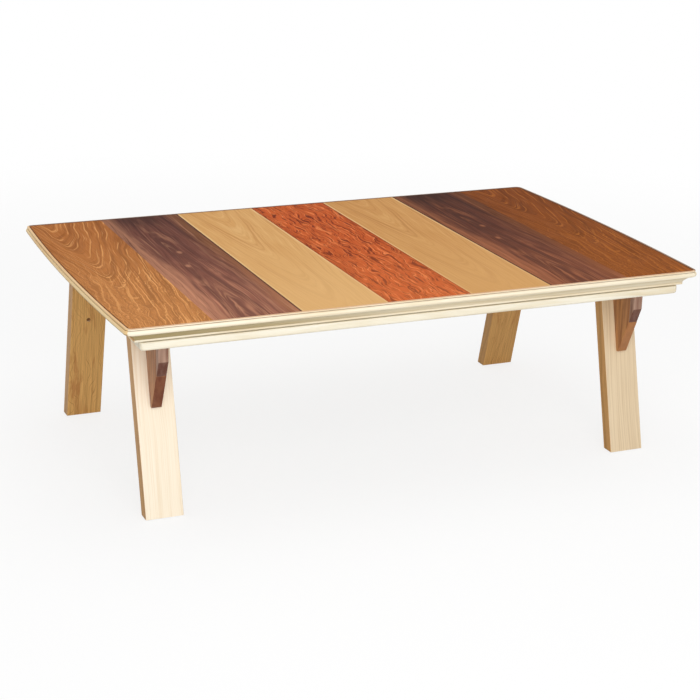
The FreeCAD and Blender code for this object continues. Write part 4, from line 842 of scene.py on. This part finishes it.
def zelkova(name, centre, light, middle, dark, seed):
    finish, flat, across, along = leaf(name, middle, centre)

    # the rings lean a little, lie off the centre and crinkle towards the front
    wander = drift(finish, flat, (10, 4.5, 10), seed, 2.0)
    busy = finish.spread(along, 0.0, -0.16)
    crinkle = drift(finish, flat, (70, 38, 70), seed + 1, 2.0, 0.6)
    bent = finish.math("MULTIPLY_ADD", wander, ZELKOVA_WANDER, across)
    crinkle = finish.times(crinkle, finish.spread(busy, 0, 1, 0.08, 1.0))
    bent = finish.math("MULTIPLY_ADD", crinkle, ZELKOVA_CRINKLE, bent)
    side = finish.math("ADD", finish.math("MULTIPLY_ADD", along, HEART_LEAN, bent), ZELKOVA_HEART)
    side = finish.math("MULTIPLY_ADD", side, FLANK_SLOPE, finish.times(finish.size_of(side), FLANK_SKEW))
    rings = flame(finish, side, along, depth=0.012, taper=0.19, ring=0.0155)

    # each ring has a pale line, with broad and thin bands and pores between
    line = finish.math("PINGPONG", rings, 0.5)
    broad = bands(finish, finish.times(rings, 1.7), along, 2.0, seed + 5)
    thin = bands(finish, finish.times(rings, 4.6), along, 6.0, seed + 6, 2.0)
    fade = finish.noise(flat, (24, 7, 24), seed + 3, 2.0)
    pore = pores(finish, flat, 11, seed + 2)
    pale = finish.times(finish.spread(line, 0.41, 0.49), finish.spread(fade, 0.42, 0.56))
    pale = finish.math("MAXIMUM", pale, finish.spread(thin, 0.57, 0.68, 0.0, 0.75))
    colour = tinted(finish, middle, dark, broad, 0.44, 0.62, 0.75)
    colour = tinted(finish, colour, dark, thin, 0.44, 0.34, 0.6)
    colour = tinted(finish, colour, dark, pore, *PORE_SPAN, 0.45)
    colour = finish.blend(finish.times(pale, 0.8), colour, light)

    # the busy front half, wildest on its right
    shake = drift(finish, flat, (26, 15, 26), seed + 8, 2.0, 0.5)
    reach = finish.spread(across, -0.03, 0.02, 0.034, 0.016)
    slanted = finish.math("MULTIPLY_ADD", along, -0.1, across)
    shifted = finish.math("ADD", finish.times(shake, reach), slanted)
    wavy = bands(finish, finish.times(shifted, WILD_LINES), along, 3.0, seed + 9, 2.0)
    wild = finish.times(finish.spread(across, -0.03, 0.03, 0.6, 1.0), finish.spread(along, 0.12, -0.08))
    for tint, start, end in ((dark, 0.47, 0.39), (light, 0.55, 0.61)):
        colour = finish.blend(finish.times(wild, finish.spread(wavy, start, end)), colour, tint)
    colour = tinted(finish, colour, light, along, 0.4, LEAF_FRONT, 0.3)

    colour = glue_and_shade_edge(finish, along, colour, dark)
    finish.set("Base Color", bowed_edge(finish, math.copysign(BOW_CENTRE, -centre[0]), colour, dark))
    seal(finish, pore)
    return finish


ZELKOVA_LEFT = (tone(229, 164, 100), tone(181, 112, 57), tone(135, 77, 35))
ZELKOVA_RIGHT = (tone(178, 104, 43), tone(134, 69, 22), tone(93, 44, 11))
dress(["veneer_zelkova_left"], zelkova("zelkova_left", (-END_STRIPE_CENTRE, 0, TOP), *ZELKOVA_LEFT, 50.0))
dress(["veneer_zelkova_right"], zelkova("zelkova_right", (END_STRIPE_CENTRE, 0, TOP), *ZELKOVA_RIGHT, 50.0))


# Walnut comes next: a dark purplish heart between browner sides, with pale streaks and two small
# pale eyes, darkest at the back and paler towards the front.
WALNUT_STREAKS = (
    # place across, width, start and end along the leaf, strength
    (-0.079, 0.006, -0.32, 0.3, 1.0),
    (-0.051, 0.004, 0.07, 0.23, 0.8),
    (0.074, 0.004, 0.2, 0.38, 0.9),
    (-0.05, 0.005, -0.4, -0.27, 0.9),
    (-0.011, 0.004, -0.4, -0.28, 0.9),
    (0.02, 0.003, -0.3, -0.16, 0.6),
    (-0.064, 0.008, -0.42, 0.02, 0.55),
    (0.056, 0.005, -0.42, 0.16, 0.4),
    (0.004, 0.005, -0.42, -0.33, 0.7),
)
WALNUT_EYES = (
    # centre, radii
    ((-0.005, 0.085, 0), (0.009, 0.016, 1)),
    ((-0.021, -0.027, 0), (0.008, 0.015, 1)),
)
FADE_LENGTH = 0.04
FRONT_GAIN = 1.62
WALNUT_WANDER = 0.04
WALNUT_HEART = 0.012
WALNUT_SEAM = (0.0905, 0.0932)


def spot(finish, points, centre, radii):
    """One in the middle of an ellipse, fading to nothing at its rim."""
    offset = finish.vector("DIVIDE", finish.vector("SUBTRACT", points, centre), radii)
    return finish.spread(finish.span(offset), 1.0, 0.25)


def stroke(finish, across, along, place, width, start, end):
    """A streak along the grain at a place across it, fading in and out between two places."""
    near = finish.spread(finish.size_of(finish.math("SUBTRACT", across, place)), width, 0.0)
    begun = finish.spread(along, start - FADE_LENGTH, start + FADE_LENGTH)
    unended = finish.spread(along, end + FADE_LENGTH, end - FADE_LENGTH)
    return finish.times(near, finish.times(begun, unended))


def walnut(name, centre, light, middle, dark, brown, maple_side, seed):
    finish, flat, across, along = leaf(name, middle, centre)

    # the heart and its sides
    wander = drift(finish, flat, (16, 3.0, 16), seed, 3.0, 0.55)
    bent = finish.math("MULTIPLY_ADD", wander, WALNUT_WANDER, across)
    heart = finish.math("ADD", bent, WALNUT_HEART)
    rings = flame(finish, heart, finish.times(along, -1.0), depth=0.01, taper=0.05, ring=0.012)
    broad = bands(finish, finish.times(rings, 1.1), along, 1.6, seed + 5)
    thin = bands(finish, finish.times(rings, 3.2), along, 3.5, seed + 6, 2.0)
    cloud = finish.noise(flat, (26, 5, 26), seed + 7, 3.0, 0.6, 0.8)
    pore = pores(finish, flat, 9, seed + 2)
    sides = finish.spread(finish.size_of(bent), 0.05, 0.088, 0.0, 0.7)
    right_side = finish.spread(bent, 0.02, 0.075)
    colour = finish.blend(finish.spread(broad, 0.36, 0.62), dark, middle)
    colour = finish.blend(sides, colour, finish.blend(right_side, light, brown))
    colour = tinted(finish, colour, light, thin, 0.54, 0.68, 0.45)
    colour = tinted(finish, colour, dark, thin, 0.46, 0.34, 0.6)
    colour = tinted(finish, colour, light, cloud, 0.54, 0.72, 0.5)
    colour = tinted(finish, colour, dark, cloud, 0.46, 0.3, 0.55)
    colour = tinted(finish, colour, dark, pore, *PORE_SPAN, 0.4)

    # pale streaks and eyes
    pale = 0.0
    for place, width, start, end, strength in WALNUT_STREAKS:
        streak = stroke(finish, bent, along, place, width, start, end)
        pale = finish.math("MAXIMUM", pale, finish.times(streak, strength))
    for place, radii in WALNUT_EYES:
        pale = finish.math("MAXIMUM", pale, finish.times(spot(finish, flat, place, radii), 0.9))
    colour = finish.blend(finish.times(pale, 0.75), colour, light)

    # a dark heart at the back, and a paler, livelier front
    inside = finish.spread(finish.size_of(heart), 0.075, 0.03)
    heel = finish.times(finish.spread(along, 0.27, 0.4, 0.0, 0.6), inside)
    colour = finish.blend(heel, colour, finish.blend(0.5, dark, LINE_SHADE))
    front = finish.spread(along, 0.3, LEAF_FRONT)
    colour = finish.blend(finish.times(front, 0.18), colour, finish.blend(0.75, middle, light))
    colour = finish.blend(front, colour, (FRONT_GAIN, FRONT_GAIN, FRONT_GAIN, 1.0), "MULTIPLY")
    ends = finish.times(finish.spread(along, -0.12, -0.3), finish.spread(thin, 0.5, 0.6, 0.0, 0.9))
    colour = finish.blend(ends, colour, light)

    colour = tinted(finish, colour, dark, finish.times(across, maple_side), *WALNUT_SEAM, 0.85)
    finish.set("Base Color", glue_and_shade_edge(finish, along, colour, dark))
    seal(finish, pore)
    return finish


WALNUT_LEFT = (tone(171, 119, 91), tone(117, 71, 58), tone(78, 44, 38), tone(132, 85, 52))
WALNUT_RIGHT = (tone(147, 90, 60), tone(95, 52, 37), tone(62, 32, 24), tone(112, 64, 32))
dress(["veneer_walnut_left"], walnut("walnut_left", (-2 * STRIPE_PITCH, 0, TOP), *WALNUT_LEFT, 1, 60.0))
dress(["veneer_walnut_right"], walnut("walnut_right", (2 * STRIPE_PITCH, 0, TOP), *WALNUT_RIGHT, -1, 60.0))


# Maple follows: honey-pale and quiet, with faint nested arches and straight lines at its sides.
# A paler line shows along both of its seams.
SEAM_PALE = tone(242, 206, 150)
MAPLE_WANDER = 0.03
MAPLE_HEART = 0.008
MAPLE_SEAM = (0.0905, 0.093)


def maple(name, centre, light, middle, dark, seed):
    finish, flat, across, along = leaf(name, middle, centre)
    wander = drift(finish, flat, (12, 2.6, 12), seed, 2.0)
    bent = finish.math("ADD", finish.math("MULTIPLY_ADD", wander, MAPLE_WANDER, across), MAPLE_HEART)
    rings = flame(finish, bent, along, depth=0.035, taper=0.075, ring=0.0085, waver=finish.times(wander, 1.2))
    grain = bands(finish, finish.times(rings, 1.6), along, 2.0, seed + 4)
    pore = pores(finish, flat, 9, seed + 2)
    slow = finish.noise(flat, (7, 3, 7), seed + 5, 2.0)
    colour = tinted(finish, middle, light, slow, 0.35, 0.65, 0.4)
    colour = tinted(finish, colour, dark, grain, 0.5, 0.64, 0.6)
    colour = tinted(finish, colour, light, grain, 0.46, 0.36, 0.7)
    colour = tinted(finish, colour, dark, pore, *PORE_SPAN, 0.4)
    colour = tinted(finish, colour, SEAM_PALE, finish.size_of(across), *MAPLE_SEAM, 0.6)
    colour = tinted(finish, colour, light, along, 0.3, LEAF_FRONT, 0.65)
    finish.set("Base Color", glue_and_shade_edge(finish, along, colour, dark))
    seal(finish, pore, 0.08)
    return finish


MAPLE_LEFT = (tone(228, 183, 123), tone(212, 159, 97), tone(186, 129, 72))
MAPLE_RIGHT = (tone(216, 166, 105), tone(202, 147, 87), tone(174, 117, 62))
dress(["veneer_maple_left"], maple("maple_left", (-STRIPE_PITCH, 0, TOP), *MAPLE_LEFT, 70.0))
dress(["veneer_maple_right"], maple("maple_right", (STRIPE_PITCH, 0, TOP), *MAPLE_RIGHT, 70.0))


# The centre stripe is a red-orange wood with dark broken flecks, swirls and small eyes. It is one
# leaf, darker along its two seams and a little paler at the front.
RED_EYES = (
    # centre, radii
    ((-0.008, 0.02, 0), (0.016, 0.03, 1)),
    ((-0.008, 0.26, 0), (0.014, 0.034, 1)),
    ((0.004, -0.09, 0), (0.011, 0.022, 1)),
    ((-0.005, -0.35, 0), (0.018, 0.05, 1)),
)
RED_CURL = 0.05
RED_SEAM = (0.0915, 0.0938)


def flecks(finish, bent, along, lines, slow, seed, start, end, share):
    """Short broken marks along a bent grain, so many to a metre across."""
    marks = bands(finish, finish.times(bent, lines), along, slow, seed, 2.0)
    return finish.spread(marks, start, end, 0.0, share)


def red_wood(name, centre, light, middle, dark, seed):
    finish, flat, across, along = leaf(name, middle, centre)
    curl = drift(finish, flat, (24, 11, 24), seed, 2.0, 0.5, 0.4)
    bent = finish.math("MULTIPLY_ADD", curl, RED_CURL, across)
    marks = flecks(finish, bent, along, 150.0, 13.0, seed + 1, 0.535, 0.61, 1.0)
    fine = flecks(finish, bent, along, 330.0, 22.0, seed + 4, 0.54, 0.64, 0.75)
    pale = flecks(finish, bent, along, 190.0, 9.0, seed + 5, 0.52, 0.62, 0.75)
    patch = finish.noise(flat, (22, 7, 22), seed + 3, 2.0)
    pore = pores(finish, flat, 12, seed + 2)

    # rings of dark marks lie round each eye
    for place, radii in RED_EYES:
        away = finish.span(finish.vector("DIVIDE", finish.vector("SUBTRACT", flat, place), radii))
        ripple = finish.math("MULTIPLY_ADD", curl, 1.5, finish.times(away, 2.2))
        ripple = finish.math("PINGPONG", ripple, 0.5)
        ring = finish.times(finish.spread(ripple, 0.2, 0.06), finish.spread(away, 1.0, 0.7))
        marks = finish.math("MAXIMUM", marks, ring)

    colour = finish.blend(finish.spread(patch, 0.35, 0.65), middle, finish.blend(0.2, middle, dark))
    colour = finish.blend(pale, colour, light)
    colour = finish.blend(finish.math("MAXIMUM", marks, fine), colour, dark)
    colour = tinted(finish, colour, dark, pore, *PORE_SPAN, 0.3)
    aside = finish.size_of(across)
    edge = finish.spread(aside, 0.07, 0.096, 0.0, 0.25)
    edge = finish.math("MAXIMUM", edge, finish.spread(aside, *RED_SEAM, 0.0, 0.6))
    colour = tinted(finish, finish.blend(edge, colour, dark), light, along, 0.1, LEAF_FRONT, 0.2)
    finish.set("Base Color", glue_and_shade_edge(finish, along, colour, dark))
    seal(finish, pore)
    return finish


RED_TONES = (tone(240, 140, 80), tone(205, 95, 43), tone(119, 45, 17))
dress(["veneer_cherry_centre"], red_wood("red_centre", (0, 0, TOP), *RED_TONES, 80.0))


# Four mitred lengths of pale hardwood frame the board: a flat strip level with the veneer, a fine
# quirk, a round lip, a cove and a bead. Painted shade darkens the quirk and the cove, and the lip's
# lower half on the ends; the strip has a honey tint at the front and left and painted shade at the
# back and right.
MOULDING_LEVEL = 0.43
MOULDING_RING = 0.006
QUIRK_TOP = 0.4477
QUIRK_FOOT = 0.4455
LIP_BELLY = 0.4405
COVE_TOP = 0.4358
COVE_FOOT = 0.4182
BLUR = 0.0008
STRIP_TOP = TOP + 2 * BLUR
STRIP_FOOT = 0.4488
# a yellower painted shade for the cove
COVE_PAINTED_SHADE = tone(158, 136, 76)


def between(finish, level, foot, top):
    """One between two heights, with a little blur."""
    return finish.times(finish.spread(level, foot, foot + BLUR), finish.spread(level, top, top - BLUR))


def moulding_wood(name, light, dark, turn, seed, tints_and_shades, cove_shade=0.0):
    """The mouldings' wood with tinted and shaded heights. With a cove shade, its cove takes a yellower painted shade
    towards its left end.
    """
    finish = pale_wood(name, light, dark, (0, 0, MOULDING_LEVEL), turn, seed, MOULDING_RING, 0.8, 0.2)
    length, _, level = finish.parts(finish.place())
    colour = finish.shader.inputs["Base Color"].links[0].from_socket
    for top, foot, share, stain in tints_and_shades:
        colour = finish.blend(finish.times(between(finish, level, foot, top), share), colour, stain)
    # painted shade in the cove, stronger towards the left end
    if cove_shade:
        cove = between(finish, level, COVE_FOOT, COVE_TOP)
        near = finish.spread(length, 0.1, -0.66, 0.0, cove_shade)
        colour = finish.blend(finish.times(cove, near), colour, COVE_PAINTED_SHADE)
    finish.set("Base Color", colour)
    return finish


# top and foot of each tinted or shaded height, how strong it is, and its tone
# the front and back mouldings: painted shade in the quirk and the cove
SIDE_PAINTED_SHADES = (
    (QUIRK_TOP, QUIRK_FOOT, 0.85, tone(150, 108, 62)),
    (COVE_TOP, COVE_FOOT, 0.28, tone(176, 160, 118)),
)
# the end mouldings: painted shade in the quirk, and over the lip's lower half and the cove
END_PAINTED_SHADES = (
    (QUIRK_TOP, QUIRK_FOOT, 0.9, tone(140, 92, 40)),
    (LIP_BELLY, COVE_FOOT, 0.6, tone(150, 108, 58)),
)
HONEY = tone(212, 158, 104)
UMBER_SHADE = tone(112, 70, 42)
# The strip: a honey tint at the front and left, painted shade in umber at the back and right.
STRIP_TINTS_AND_SHADES = {
    "front": (STRIP_TOP, STRIP_FOOT, 0.75, HONEY),
    "back": (STRIP_TOP, STRIP_FOOT, 0.9, UMBER_SHADE),
    "left": (STRIP_TOP, STRIP_FOOT, 0.5, HONEY),
    "right": (STRIP_TOP, STRIP_FOOT, 0.9, UMBER_SHADE),
}
for edge in ("front", "back"):
    wood = moulding_wood(f"moulding_wood_{edge}", tone(253, 243, 220), tone(226, 202, 156), ALONG_X, 5.0,
                         (*SIDE_PAINTED_SHADES, STRIP_TINTS_AND_SHADES[edge]), 0.8)
    dress([f"edge_moulding_{edge}"], wood)
# The end mouldings are written warmer and darker than the front and back ones: painted shade.
for edge in ("left", "right"):
    wood = moulding_wood(f"moulding_wood_{edge}", tone(255, 226, 172), tone(232, 184, 118), ALONG_Y, 6.0,
                         (*END_PAINTED_SHADES, STRIP_TINTS_AND_SHADES[edge]))
    dress([f"edge_moulding_{edge}"], wood)
